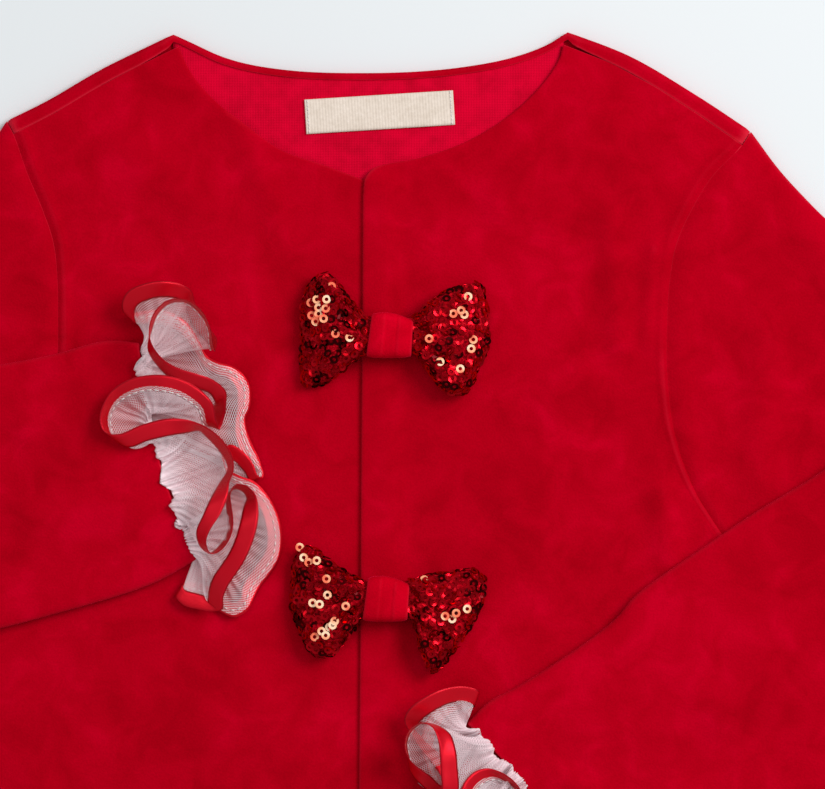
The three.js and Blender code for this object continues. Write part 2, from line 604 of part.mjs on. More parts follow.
function sleeveStations(side, sleeve) {
  const seam = armholeSeam(side);
  const upperOut = plan([seam(0), ...sleeve.upperOut]);
  const upperIn = plan([seam(1), ...sleeve.upperIn]);
  const [foreOut, foreIn] = [plan(sleeve.foreOut), plan(sleeve.foreIn)];
  const level = SLEEVE_DEEP / 2;
  const { away } = cuffFrame(side, sleeve);
  const cuffBow = (q) => away.map((value) => -4 * CUFF_BOW * q * (1 - q) * value);
  const upper = range(UPPER_STATIONS, (i) => {
    const t = i / UPPER_STATIONS;
    const [a, b] = [upperOut(t), upperIn(t)];
    const bow = (1 - t) ** ARMHOLE_BOW_POWER;
    return {
      seen: 1,
      relief: smooth(0, RELIEF_START, t),
      creases: sleeve.upperCreases,
      at: (q) => add(mix(a, b, q), add(seam(q), mix(seam(0), seam(1), q), -1), bow),
      place: ([x, y], face, fold) => [x, y, level + face + fold],
    };
  });
  const [cornerOut, cornerIn] = [upperOut(1), upperIn(1)];
  const run = unit(add(cornerIn, cornerOut, -1));
  const out = [-side.sign * run[1], side.sign * run[0]];
  const elbowMiddle = (level + ELBOW_LOW + level) / 2;
  const radius = elbowMiddle - level;
  const fold = range(FOLD_STATIONS, (i) => {
    const angle = -Math.PI / 2 + (Math.PI * i) / (FOLD_STATIONS - 1);
    return {
      seen: -1,
      relief: 0,
      creases: [],
      at: (q) => mix(cornerOut, cornerIn, q),
      place: (p, face) => {
        const reach = (radius - face) * Math.cos(angle);
        return [...add(p, out, reach), elbowMiddle + (radius - face) * Math.sin(angle)];
      },
    };
  });
  const fore = range(FORE_STATIONS, (i) => {
    const t = (i + 1) / FORE_STATIONS;
    const [a, b] = [foreOut(t), foreIn(t)];
    const middle = lerp(ELBOW_LOW, FOREARM_LOW, smooth(0, ELBOW_SLOPE, t)) + level;
    return {
      seen: -1,
      relief: smooth(0, RELIEF_END, 1 - t),
      creases: sleeve.foreCreases,
      at: (q) => add(mix(a, b, q), cuffBow(q), t ** CUFF_BOW_POWER),
      place: ([x, y], face, crease) => [x, y, middle - face + crease],
    };
  });
  return [...upper, ...fold, ...fore];
}

function sleeve(side, shape) {
  const stations = sleeveStations(side, shape);
  const skin = (inset) => stations.map((station) => sleeveRing(station, inset));
  return wall(skin(0), skin(VELOUR), true);
}

// The gathered line of a ruffle and its ribbon edge, as functions of the place round the ring.
function ruffleFrame(side, sleeveShape, rows) {
  const { top, along, away, width } = cuffFrame(side, sleeveShape);
  const reachOut = GAP + TULLE / 2;
  const halfDeep = (SLEEVE_DEEP - VELOUR) / 2;
  const middle = FOREARM_LOW + SLEEVE_DEEP / 2;
  const inner = VELOUR / 2;
  const root = (at) => {
    const lower = at > 1;
    const q = THREE.MathUtils.clamp(lower ? 2 - at : at, 0, 1);
    const full = Math.sqrt(Math.max(0, 1 - Math.abs(2 * q - 1) ** ROOT_POWER));
    const bow = 4 * CUFF_BOW * q * (1 - q);
    const p = add(add(top, along, inner + q * (width - 2 * inner)), away, reachOut - bow);
    return [...p, middle + (lower ? -1 : 1) * halfDeep * full];
  };
  const knots = rows.map((row) => new THREE.Vector3(row.along, row.out, row.up));
  const edgeCurve = new THREE.CatmullRomCurve3(knots, true, "centripetal");
  const atOf = (t) => {
    const place = t * rows.length;
    const i = Math.floor(place) % rows.length;
    const next = i + 1 < rows.length ? rows[i + 1].at : 2 + rows[0].at;
    return lerp(rows[i].at, next, place - Math.floor(place)) % 2;
  };
  const edge = (t) => {
    const p = edgeCurve.getPoint(t);
    return [...add(add(top, along, p.x), away, p.y), p.z];
  };
  return { root, edge, atOf, away };
}

// Mid-surface of a ruffle, from the gathered line at 0 to the free edge at 1.
function ruffleSurface(frame) {
  return (t, share) => {
    const at = frame.atOf(t);
    const root = frame.root(at);
    const edge = frame.edge(t);
    const control = [
      ...add([root[0], root[1]], frame.away, FLARE_REACH),
      lerp(root[2], edge[2], FLARE_CLIMB),
    ];
    return mix(mix(root, control, share), mix(control, edge, share), share);
  };
}

// Normal of a surface over (t, share), averaged over places close by so that the wall stays even.
function surfaceNormal(surface, t, share) {
  const sum = new THREE.Vector3();
  const [low, high] = [Math.max(share - SHARE_STEP, 0), Math.min(share + SHARE_STEP, 1)];
  for (const shift of [-NORMAL_SPREAD, 0, NORMAL_SPREAD]) {
    const [before, middle, after] = [-NORMAL_STEP, 0, NORMAL_STEP].map((step) => (t + shift + step + 1) % 1);
    const along = new THREE.Vector3(...add(surface(after, share), surface(before, share), -1));
    const out = new THREE.Vector3(...add(surface(middle, high), surface(middle, low), -1));
    sum.add(along.cross(out).normalize());
  }
  return sum.normalize().toArray();
}

// Even places along the free edge, so that its loops and its straight runs are sampled alike.
function evenPlaces(frame, count) {
  const fine = LENGTH_STEPS * count;
  const lengths = [0];
  for (let i = 1; i <= fine; i += 1) {
    const step = add(frame.edge(i / fine), frame.edge((i - 1) / fine), -1);
    lengths.push(lengths[i - 1] + Math.hypot(...step));
  }
  const whole = lengths[fine];
  return range(count, (k) => lengths.findIndex((length) => length >= (k * whole) / count) / fine);
}

// Share of a ruffle's depth at which its ribbon starts.
function ribbonShare(surface, t) {
  const edge = surface(t, 1);
  const reach = (share) => Math.hypot(...add(surface(t, share), edge, -1));
  let share = 1;
  while (share > RIBBON_START_LEAST && reach(share) < RIBBON_WIDTH) share -= SHARE_STEP;
  return share;
}

// The ruffle and its ribbon are made from the same rows of points, moved out by the given depth. The middle
// rows rise and fall from one column to the next, as the gathers do.
function ruffleRows(frame, surface, places, turn, depth) {
  const point = (t, share, k) => {
    const at = frame.atOf(t);
    const corner = smooth(0, CORNER_FADE, Math.min(at, Math.abs(1 - at), 2 - at));
    const gather = corner * GATHER_DEPTH * Math.sin((Math.PI * k) / 2) * 4 * share * (1 - share);
    return add(surface(t, share), surfaceNormal(surface, t, share), turn * (depth + gather));
  };
  const starts = places.map((t) => ribbonShare(surface, t));
  return RUFFLE_SHARES.map((part) => places.map((t, k) => point(t, part * starts[k], k)))
    .concat([places.map((t, k) => point(t, 1, k))]);
}

function ruffle(frame, surface, places, turn) {
  const rows = (depth) => ruffleRows(frame, surface, places, turn, depth);
  return wall(rows(TULLE / 2), rows(-TULLE / 2), true);
}

// The ribbon lies on the ruffle's outer face, along its free edge.
function ribbon(frame, surface, places, turn) {
  const rows = (depth) => ruffleRows(frame, surface, places, turn, depth).slice(-2);
  const near = TULLE / 2 + RIBBON_GAP;
  return wall(rows(near + RIBBON), rows(near), true);
}

// The two wings of a bow: one band of cloth, pleated where the knot pinches it.
function bowWings({ x, y, sections }) {
  return loft(sections.map(({ at, top, bottom, low, high }) => {
    const [middleY, halfY] = [(top + bottom) / 2, (top - bottom) / 2];
    const [middleZ, halfZ] = [(high + low) / 2, (high - low) / 2];
    const flare = smooth(...PLEAT_START, Math.abs(at)) * smooth(...PLEAT_END, Math.abs(at));
    return range(BOW_SIDES, (j) => {
      const angle = (2 * Math.PI * j) / BOW_SIDES;
      const [c, s] = [Math.cos(angle), Math.sin(angle)];
      const across = Math.sign(c) * Math.abs(c) ** BOW_CORNER_POWERS[0];
      const upwards = Math.sign(s) * Math.abs(s) ** BOW_CORNER_POWERS[1];
      const pleat = s > 0 ? PLEAT_DEPTH * flare * Math.cos(PLEATS * Math.PI * across) * s : 0;
      return [x + at, y + middleY + halfY * across, middleZ + halfZ * upwards + pleat];
    });
  }));
}

// The knot: a band of velour that goes round the middle of the bow.
function bowKnot({ x, y }) {
  const ring = (inset, at) => range(KNOT_SIDES, (j) => {
    const angle = (2 * Math.PI * j) / KNOT_SIDES;
    const [across, upwards] = [Math.cos(angle), Math.sin(angle)].map((value) => {
      return Math.sign(value) * Math.abs(value) ** KNOT_CORNER_POWER;
    });
    const belly = 1 - KNOT_TAPER * (at / KNOT.half) ** 2;
    const halfY = (KNOT.across / 2) * belly - inset;
    const halfZ = (KNOT.high - KNOT.low) / 2 - inset;
    return [x + at, y + halfY * across, (KNOT.high + KNOT.low) / 2 + halfZ * upwards];
  });
  const places = KNOT_RINGS.map((share) => share * KNOT.half);
  return wall(places.map((at) => ring(0, at)), places.map((at) => ring(KNOT.wall, at)), true);
}

const jacket = new THREE.Group();
jacket.add(piece("back", back(), "velour"));
jacket.add(piece("back_lining", lining(), "lining"));
jacket.add(piece("neck_label", label(), "label"));
for (const [name, side] of Object.entries(SIDES)) {
  const shape = SLEEVES[name];
  const turn = -side.sign;
  const frame = ruffleFrame(side, shape, RUFFLES[name]);
  const surface = ruffleSurface(frame);
  const places = evenPlaces(frame, RUFFLE_STEPS);
  jacket.add(piece(`front_${name}`, front(side), "velour"));
  jacket.add(piece(`sleeve_${name}`, sleeve(side, shape), "velour"));
  jacket.add(piece(`ruffle_${name}`, ruffle(frame, surface, places, turn), "tulle"));
  jacket.add(piece(`ribbon_${name}`, ribbon(frame, surface, places, turn), "ribbon"));
}
for (const [name, bow] of Object.entries(BOWS)) {
  jacket.add(piece(`${name}_wings`, bowWings(bow), "sequin"));
  jacket.add(piece(`${name}_knot`, bowKnot(bow), "velour"));
}

// The origin goes to the middle of the jacket's extent, on the surface that it lies on.
const extent = new THREE.Box3().setFromObject(jacket, true);
const middle = extent.getCenter(new THREE.Vector3());
jacket.position.set(-middle.x, -middle.y, -extent.min.z);

export default jacket;
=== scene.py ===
# A child's elf jacket in red velour, laid flat with its sleeves folded in over the front.
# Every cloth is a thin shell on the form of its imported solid, with finer folds, gathers and seams. Plan sizes
# are millimetres from the high point of the shoulders: x across, y up the jacket, z up from the floor.
import math

import bpy
import numpy as np
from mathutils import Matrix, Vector, noise


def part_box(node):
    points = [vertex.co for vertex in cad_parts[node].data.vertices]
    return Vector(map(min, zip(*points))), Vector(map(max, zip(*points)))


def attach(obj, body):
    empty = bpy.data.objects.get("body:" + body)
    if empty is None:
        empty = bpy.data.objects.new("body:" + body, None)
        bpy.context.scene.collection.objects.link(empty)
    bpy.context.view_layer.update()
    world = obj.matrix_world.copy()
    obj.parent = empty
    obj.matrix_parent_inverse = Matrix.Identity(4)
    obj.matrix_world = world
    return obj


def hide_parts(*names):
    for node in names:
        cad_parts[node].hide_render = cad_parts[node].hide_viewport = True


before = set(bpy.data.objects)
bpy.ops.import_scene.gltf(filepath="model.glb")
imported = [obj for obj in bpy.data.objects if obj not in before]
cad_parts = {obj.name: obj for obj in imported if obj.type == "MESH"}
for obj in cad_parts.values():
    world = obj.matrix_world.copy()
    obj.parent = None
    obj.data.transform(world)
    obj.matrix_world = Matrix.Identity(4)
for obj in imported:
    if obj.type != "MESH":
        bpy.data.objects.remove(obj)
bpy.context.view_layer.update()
MM = 0.001
BODY = "root"

# Cloth thicknesses and levels, the same as the solids'
VELOUR = 1.6
LINING = 1.0
TULLE = 1.0
GAP = 0.3
SEAM_GAP = 0.03
RIBBON_WIDTH = 6.2
SATIN = 0.4
BOW_CLOTH = 0.5
LINING_LOW = VELOUR + GAP
LINING_TOP = LINING_LOW + LINING
FRONT_LOW = LINING_TOP + GAP
FRONT_TOP = FRONT_LOW + VELOUR
FOREARM_LOW = FRONT_TOP + 1.6
ELBOW_LOW = FRONT_TOP + 3.4
SLEEVE_DEEP = FRONT_TOP

# Body sizes
HEM_Y = -400
HEM_RISE = 5
HEM_HALF = 160
FRONT_WIDTH = 150
OVERLAP = 7
LIFTED_WIDTH = 8.4
LIFT_END = 21
BODY_ROWS = 8
ARM_SHARES = [1, 0.88, 0.76, 0.63, 0.5, 0.37, 0.24, 0.12, 0.03]
NECK_SHARES = [0, 0.07, 0.2, 0.36, 0.52, 0.68, 0.84, 1]
SHOULDER_LIP = 4.6
NECK_LIP = 2.4
NECK_LIP_TOP = 2 * VELOUR + 0.5

SIDES = {
    "left": {
        "sign": 1,
        "neck": [(-5.2, -56), (-4.4, -49.4), (-1.7, -46.2), (2.8, -44.6), (14.5, -42.4), (31.7, -36.2),
                 (47.3, -26.2), (57.6, -15.9), (62.4, -8.6)],
        "armhole": [(128.7, -33.1), (125.2, -38.6), (115.9, -48), (108.7, -59.3), (102.8, -72.5),
                    (100.4, -87), (99.7, -101), (99.7, -115), (102.1, -137), (108.7, -156.6),
                    (115.2, -167.7), (124, -180), (134, -190.4), (146, -200)],
        "shoulder": [(65.6, 1), (86.9, -7.2), (110.4, -21), (128.7, -33.1)],
        "opening": (-5.2, -7.4),
    },
    "right": {
        "sign": -1,
        "neck": [(1.8, -55), (-1.4, -51.4), (-7.2, -49.2), (-13, -47), (-19.7, -44.6), (-33.5, -39.7),
                 (-47.3, -29.8), (-56.6, -22.4), (-64.8, -12.6)],
        "armhole": [(-127.9, -29.4), (-125.2, -35.4), (-121.1, -47.3), (-115.6, -60.4), (-111.8, -72),
                    (-110.5, -85.2), (-110.3, -99), (-110.5, -111), (-112.5, -126.3), (-116.6, -143.5),
                    (-123.5, -160.8), (-133.9, -178), (-146, -191.8)],
        "shoulder": [(-70.7, 0.2), (-95, -11.5), (-114, -22.5), (-127.9, -29.4)],
        "opening": (-5.2 + OVERLAP, -7.4 + OVERLAP),
    },
}
BACK_NECK = [(-70.7, 0.2), (-64.5, -2.6), (-54.5, -7.1), (-44.5, -10), (-26.9, -12.4), (-3.8, -13),
             (14.8, -12.4), (31, -10.7), (45.9, -7.8), (58.3, -3.4), (65.6, 1)]
LINING_DEPTH = 72

# Edges of the flattened sleeves: from the armhole out to the elbow's fold, and from there to the cuff
UPPER_LENGTH = 90
FORE_LENGTH = 210
SLEEVES = {
    "left": {
        "upper_out": [(138.3, -46.2), (147.7, -56.6), (154.2, -63.1), (180, -85), (206, -108)],
        "upper_in": [(175, -214.6), (203, -229)],
        "fore_out": [(206, -108), (154.2, -149.7), (141.5, -157.7), (129, -165.3), (113.2, -176),
                     (89, -193.2), (82.5, -200.8), (71.1, -209.8), (47.6, -225), (38.3, -229.8),
                     (30.7, -237.4)],
        "fore_in": [(203, -229), (162.8, -255.6), (111.1, -281.5), (75.2, -298.4)],
    },
    "right": {
        "upper_out": [(-138, -43.8), (-147, -53.8), (-153.5, -60), (-199.4, -95.6), (-244, -130)],
        "upper_in": [(-173, -204), (-202, -216)],
        "fore_out": [(-244, -130), (-190, -124), (-130.4, -113.9), (-112.1, -110.4), (-93.5, -105.6),
                     (-82.1, -106.3)],
        "fore_in": [(-202, -216), (-168, -212), (-130.4, -204.6), (-112.1, -199.8), (-89, -193.2),
                    (-76, -188.4), (-62.4, -180.8)],
    },
}

# Soft folds. Columns: x, y, to_x, to_y, half width, height
CREASES = {
    "front": [
        (97.5, -158, 101, -182, 5.5, 1.7),
        (80, -64, 83, -106, 5, 1.5),
        (96, -74, 94, -104, 3.6, 1.4),
        (-49, -28, -31, -70, 5.5, 1.2),
        (-88, -38, -62, -60, 9, 1.2),
        (42, -56, 78, -30, 8, 1.2),
        (70, -120, 46, -158, 9, 1.3),
        (-40, -232, -104, -250, 11, 1.6),
        (-118, -262, -104, -356, 11, 2.4),
        (122, -322, 106, -372, 11, 2.4),
        (-46, -300, -54, -370, 9, 2),
        (46, -344, 52, -376, 9, 2),
    ],
    "left_upper": [(134, -104, 131, -152, 7, 1.8), (107, -146, 113, -170, 5, 1.7),
                   (152, -70, 170, -98, 9, 1.6)],
    "left_fore": [(44, -248, 74, -262, 5, 1.6), (60, -282, 104, -262, 6, 1.4),
                  (120, -232, 176, -190, 10, 2)],
    "right_upper": [(-146, -76, -168, -94, 8, 1.6)],
    "right_fore": [(-76, -128, -120, -136, 6, 1.5), (-70, -162, -118, -166, 7, 1.3),
                   (-150, -150, -204, -172, 10, 2)],
}

# The picture's scale, and the pixel where the plan's origin lies in it
PIXEL = 0.345
PICTURE_ORIGIN = (378, 35)

# Ribbons of the ruffles, followed from the upper layer's top corner round to the lower layer.
# Columns: at (0 to 1 over the upper layer, to 2 under the lower one), then the ribbon's free edge and its
# inner edge, each as x and y in pixels and millimetres up from the floor
UPPER_LAYER = [
    (0.006, 126, 312, 10.5, 135, 321, 9), (0.012, 123, 303, 13, 134, 313, 10.8),
    (0.018, 130, 291, 15.5, 139, 305, 13), (0.024, 148, 283, 17.4, 155, 298, 15.6),
    (0.03, 167, 281, 17.6, 170, 297, 16), (0.036, 184, 285, 15.8, 183, 298, 13),
    (0.042, 193, 291, 13.6, 188, 301, 10), (0.048, 197, 303, 11.4, 190, 308, 8),
    (0.053, 207, 322, 10.4, 200, 326, 7.8), (0.06, 219, 340, 12.2, 211, 342, 8.4),
    (0.066, 216, 353, 16.6, 211, 350, 11.4), (0.072, 213, 343, 21, 210, 342, 15.4),
    (0.078, 211, 330, 23.8, 209, 330, 18), (0.084, 203, 313, 25.4, 201, 316, 19.8),
    (0.09, 188, 302, 26.4, 188, 305, 20.8), (0.096, 170, 303, 26.6, 172, 306, 21),
    (0.102, 158, 314, 26.4, 161, 316, 20.8), (0.11, 153, 330, 26, 155, 331, 20),
    (0.13, 156, 345, 25.4, 151, 349, 19.8), (0.155, 166, 358, 24.6, 160, 364, 19.8),
    (0.18, 180, 367, 24, 174, 377, 20.2), (0.205, 198, 373, 23.4, 194, 385, 20),
    (0.225, 215, 379, 21.8, 211, 391, 18.4), (0.24, 227, 390, 19, 215, 400, 16.2),
    (0.25, 228, 404, 15.6, 216, 405, 11.6), (0.26, 226, 418, 13.4, 215, 414, 9.8),
    (0.27, 220, 431, 14.2, 211, 426, 10.4), (0.28, 217, 421, 17.4, 205, 425, 14.2),
    (0.29, 213, 403, 20, 199, 411, 17.6), (0.3, 199, 388, 21.4, 189, 402, 19.4),
    (0.31, 184, 380, 22, 178, 396, 20.6), (0.32, 167, 376, 22.2, 165, 393, 21),
    (0.33, 149, 376, 21.6, 149, 392, 20), (0.34, 132, 380, 20.6, 135, 393, 18),
    (0.35, 117, 389, 19.2, 122, 400, 16), (0.36, 107, 403, 18.8, 114, 408, 15),
    (0.375, 103, 418, 18.4, 110, 420, 14.6), (0.39, 107, 430, 18, 113, 434, 14.4),
    (0.41, 121, 433, 17.6, 128, 444, 15), (0.44, 144, 424, 18, 149, 441, 16),
    (0.48, 170, 418, 18.4, 171, 435, 16.6), (0.52, 190, 419, 18.4, 188, 430, 14.8),
    (0.55, 205, 424, 17.8, 201, 429, 12.8), (0.58, 216, 431, 16.8, 209, 437, 11.8),
    (0.61, 227, 442, 16, 219, 448, 11.2), (0.64, 235, 457, 15.6, 228, 460, 10.6),
    (0.67, 236, 470, 16, 229, 470, 10.6), (0.7, 232, 482, 18, 221, 484, 13.6),
    (0.725, 229, 498, 20, 211, 500, 18.4), (0.75, 222, 514, 21, 204, 515, 19.4),
    (0.77, 213, 529, 21.4, 199, 531, 18), (0.785, 209, 541, 21, 202, 545, 15.8),
    (0.8, 213, 551, 20.4, 211, 551, 14.4), (0.81, 223, 547, 19.8, 220, 543, 13.8),
    (0.82, 231, 534, 19, 226, 532, 13.2), (0.83, 233, 520, 18, 227, 520, 12.2),
    (0.84, 231, 505, 16.6, 225, 507, 11), (0.85, 230, 493, 15, 226, 496, 9.8),
    (0.86, 236, 483, 14.6, 234, 488, 9.2), (0.87, 247, 484, 15, 243, 490, 9.8),
    (0.88, 257, 493, 16, 248, 498, 11.2), (0.89, 260, 507, 17, 245, 507, 13.8),
    (0.9, 259, 523, 17.6, 241, 521, 16.2), (0.915, 254, 541, 17.6, 236, 537, 16.2),
    (0.93, 247, 558, 17, 230, 552, 15.6), (0.95, 239, 571, 16, 223, 563, 14.6),
    (0.965, 230, 584, 14.6, 214, 576, 13), (0.98, 225, 596, 13, 210, 589, 11),
    (0.99, 224, 608, 11.4, 210, 602, 9),
]
LOWER_LAYER = [
    (1.01, 215, 611, 9.4, 208, 597, 8.4), (1.025, 199, 609, 8.6, 197, 593, 8.2),
    (1.04, 184, 605, 8.2, 185, 589, 8), (1.055, 177, 597, 7.6, 185, 583, 7.6),
    (1.07, 187, 594, 7.1, 193, 581, 7.1), (1.085, 204, 600, 7, 207, 584, 7),
    (1.1, 221, 612, 7.6, 220, 596, 7.2), (1.12, 235, 617, 8.8, 233, 601, 8.2),
    (1.14, 248, 610, 9.2, 240, 597, 8.8), (1.16, 255, 598, 8.6, 242, 587, 8.6),
    (1.19, 261, 587, 7.8, 247, 577, 8.2), (1.22, 271, 574, 7.8, 257, 563, 8.6),
    (1.26, 280, 559, 7.9, 265, 551, 9), (1.3, 283, 541, 8, 267, 539, 9.3),
    (1.34, 281, 523, 8.2, 266, 527, 9.5), (1.38, 275, 506, 8.4, 262, 513, 9.5),
    (1.42, 266, 492, 8.8, 256, 502, 9.3), (1.45, 254, 481, 9.2, 247, 493, 9),
    (1.48, 240, 476, 9, 238, 488, 8.2), (1.505, 226, 468, 8, 228, 480, 7.5),
    (1.525, 222, 452, 8.2, 225, 465, 7.6), (1.54, 231, 444, 9.2, 227, 457, 8.1),
    (1.56, 244, 451, 10, 236, 462, 8), (1.58, 254, 463, 10, 245, 471, 8),
    (1.595, 259, 475, 9.2, 251, 480, 7.5), (1.61, 264, 476, 7.8, 256, 472, 7.2),
    (1.63, 261, 462, 7.8, 249, 466, 8.2), (1.66, 254, 446, 7.8, 240, 452, 8.7),
    (1.69, 248, 431, 7.9, 235, 434, 8.9), (1.72, 246, 418, 8.2, 235, 423, 8.6),
    (1.76, 250, 409, 8.2, 237, 408, 9), (1.79, 252, 399, 8.3, 237, 399, 9.7),
    (1.82, 251, 386, 8.5, 237, 391, 9.9), (1.85, 244, 374, 8.9, 233, 384, 9.9),
    (1.88, 233, 366, 9.3, 226, 378, 9.8), (1.91, 219, 362, 9.3, 217, 375, 9.2),
    (1.935, 207, 356, 8.4, 206, 369, 8.1), (1.95, 199, 340, 7.6, 195, 353, 7.5),
    (1.965, 185, 320, 7.5, 181, 334, 7.5), (1.98, 161, 309, 7.8, 161, 325, 7.7),
    (1.99, 138, 312, 8.8, 143, 325, 8.2),
]
# The left cuff's first waves. The rest are the right cuff's, and those before LEFT_JOINS are moved along the
# cuff by LEFT_SHIFT and drawn in by LEFT_PRESS: what lies -16.3 mm out of the right cuff is 0.5 mm out here.
LEFT_START = [
    (0.006, 478, 690, 10.5, 474, 703, 9), (0.012, 467, 685, 13, 466, 699, 10.8),
    (0.018, 452, 685, 15.5, 453, 698, 13), (0.024, 436, 689, 17.4, 439, 702, 15.6),
    (0.03, 421, 697, 17.6, 428, 709, 16), (0.036, 409, 707, 16.6, 420, 717, 14.4),
    (0.042, 404, 719, 14.2, 414, 726, 11), (0.048, 410, 734, 11.4, 419, 737, 8),
    (0.054, 422, 752, 10.6, 430, 750, 8), (0.06, 438, 772, 12.4, 444, 763, 9),
    (0.064, 441, 783, 14.6, 441, 793, 10.4), (0.068, 431, 773, 17.2, 424, 784, 13.4),
    (0.074, 419, 764, 19.8, 413, 770, 15), (0.08, 409, 753, 22.4, 410, 756, 16.6),
    (0.086, 406, 741, 24.4, 408, 742, 18.6), (0.093, 410, 728, 25.8, 412, 730, 20),
    (0.1, 420, 721, 26.6, 421, 723, 20.8), (0.11, 431, 725, 26.4, 434, 723, 20.6),
    (0.13, 437, 738, 25.4, 449, 732, 21.6), (0.155, 439, 752, 24.6, 455, 747, 22),
    (0.18, 440, 768, 23.8, 457, 765, 21.8), (0.205, 441, 786, 23, 458, 787, 21),
    (0.225, 437, 803, 21.2, 453, 808, 19), (0.24, 428, 814, 18.6, 440, 822, 15.8),
    (0.25, 418, 820, 15.4, 427, 827, 11.8),
]
LEFT_SHIFT = 3
LEFT_PRESS = 0.61
LEFT_NEAR = (-16.3, 0.5)
LEFT_JOINS = 0.56

# A ribbon seen narrower than FLAT_RIBBON leans, and by how much follows from its width
FLAT_RIBBON = 6.0
LEAST_DROP = 3.2
CUFF_BOW = 3.6
SLEEVE_HALF_RING = 58
SLEEVE_SIDE_POWER = 26
ROOT_POWER = 7
NET_OVER = 0.35
LOWER_NET_OVER = 0.84
OVER_SLEEVE = FOREARM_LOW + SLEEVE_DEEP + 1.9
NET_COLUMNS = 960
PLEAT_STEP = 5.2
PLEAT_DEPTH = 2.1
PUFF_BACK = 3.8
PUFF_UP = 2.0
NET_PITCH = 0.8
NET_THREAD = 0.14
NET_SLANT = 0.62

# Stitches: length, width and height
STITCH = (1.5, 0.3, 0.22)
STITCH_STEP = 2.6
LABEL_STITCH = (1.0, 0.3, 0.2)

# Stands for a distance where a grid closes on itself and so has no edge
NO_EDGE = 1e3

# Bows. Columns: at (from the knot along the bow), top and bottom across it, low and high levels
KNOT = {"half": 7.6, "across": 16.4, "low": FRONT_TOP + VELOUR + 2 * GAP, "high": 18.4}
KNOT_DROP = 2.6
BOWS = {
    "bow_upper": {
        "middle": (4.4, -103.6),
        "sections": [
            (-30.2, 11, -16, 6.2, 8.6), (-28.6, 15, -17.2, 5.6, 10.6), (-25, 19.6, -16.6, 5.4, 13.2),
            (-21.6, 20.6, -15.4, 5.5, 15), (-13.6, 11, -9, 7.2, 16.2), (-8.4, 6, -5.6, 9.1, 14.6),
            (0, 5.6, -5.4, 9.3, 14.4), (8.4, 6, -5.8, 9.1, 14.6), (13.4, 10.6, -12, 7.4, 16.2),
            (20, 15, -19.6, 5.6, 15.6), (25.6, 16.6, -19.4, 5.4, 14), (30.4, 17.4, -10, 5.6, 10.8),
            (33, 9, -4.6, 6.2, 8.4),
        ],
    },
    "bow_lower": {
        "middle": (3.1, -194.2),
        "sections": [
            (-32.2, 8, -4, 6.2, 8.4), (-30, 16.4, -9.6, 5.6, 10.8), (-26, 17, -18, 5.4, 13.4),
            (-20, 12.6, -19.4, 5.5, 15.4), (-13.6, 8.4, -13, 7.2, 16.2), (-8.4, 6, -6, 9.1, 14.6),
            (0, 5.6, -5.6, 9.3, 14.4), (8.4, 6, -6.2, 9.1, 14.6), (12.4, 7, -18, 7.4, 16.2),
            (16.4, 8, -24.8, 5.6, 15.2), (23, 8.6, -17.4, 5.4, 13.6), (29.4, 9.4, -8, 5.6, 11.2),
            (33, 6.8, -0.6, 6.2, 8.6),
        ],
    },
}

# Sequins on the wings. Those round the dark spots are near black, a painted shade where they turn from the
# light; the bright rings are tilted towards the light and coloured pale cream-orange, partly a real reflection
# and partly a painted glint.
# Columns: x and y in pixels, and a spot's radius in millimetres
SEQUINS = 470
SEQUIN_STEP = 2.0
SEQUIN_TRIES = 30000
# A share of the other sequins, at random, is near black too: more painted shade
PAINTED_SHADE_SHARE = 0.16
RING_CUP = 0.16
FLAT_RING_CUP = 0.03
RING_TILT = 0.24
RING_LIFTS = (0.3, 0.75)
BRIGHT_LIFT = 0.2
BRIGHT_RISE = 1.3
BARE_AT_KNOT = 0.6
UNDERSIDE = 30
PAINTED_GLINT_RINGS = {
    "bow_upper": [
        (332, 287), (311, 303), (317, 300), (327, 300), (319, 308), (326, 309), (319, 314), (312, 316),
        (324, 319), (316, 322), (336, 334), (350, 338), (468, 297), (453, 314), (461, 311), (464, 315),
        (429, 339), (473, 340), (471, 349), (440, 362), (460, 369),
    ],
    "bow_lower": [
        (300, 547), (304, 557), (309, 562), (317, 560), (313, 602), (320, 603), (346, 605), (327, 578),
        (333, 624), (330, 626), (322, 630), (335, 620), (326, 634), (315, 636), (328, 594), (424, 579),
        (445, 615), (452, 618), (456, 612), (467, 608),
    ],
}
PAINTED_SHADE_SPOTS = {
    "bow_upper": [
        (347, 295, 2.2), (320, 290, 1.3), (330, 346, 2.2), (340, 346, 2.2), (318, 378, 2.2),
        (325, 378, 2.2), (452, 343, 2.2), (451, 386, 1.8), (490, 341, 1.8), (452, 292, 1.8),
    ],
    "bow_lower": [
        (325, 563, 2.2), (304, 575, 2.2), (288, 601, 1.8), (303, 618, 2.2), (349, 627, 2.2),
        (316, 655, 1.8), (468, 575, 1.8), (483, 590, 2.2), (424, 667, 2.2), (447, 635, 1.8),
        (478, 610, 1.8),
    ],
}

LABEL = {"x": 0.6, "y": -26.6, "width": 51.4, "height": 11.9, "turn": 0.063, "thick": 0.5}
LABEL_RIB = {"step": 1.02, "height": 0.05}
LABEL_LIFT = 0.35
LABEL_CUP = 0.25
LABEL_STITCHES = 9
LABEL_SEAM = {"half": 5.2, "inset": 1.0, "lift": 0.72}

# The studio, in metres, with lamps as name, place, size and watts
FLOOR_HALF = 4.0
FLOOR_LEVEL = -0.0002
LAMPS = [("key", (0.98, 0.62, 1.15), 0.85, 17), ("top", (-0.2, 0.5, 2.1), 1.2, 5.5)]
LIT_POINT = (0.03, 0.07, 0)
SKY_LIGHT = 0.44
CAMERA_OVER = (0.0302, 0.0755)
CAMERA_DISTANCE = 2.2
SEEN_WIDTH = 0.2846

# The plan's origin in the part's frame
SHIFT = np.array([
    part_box("back")[0].x / MM + HEM_HALF,
    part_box("front_left")[0].y / MM - HEM_Y,
    0,
])


# Numbers and curves

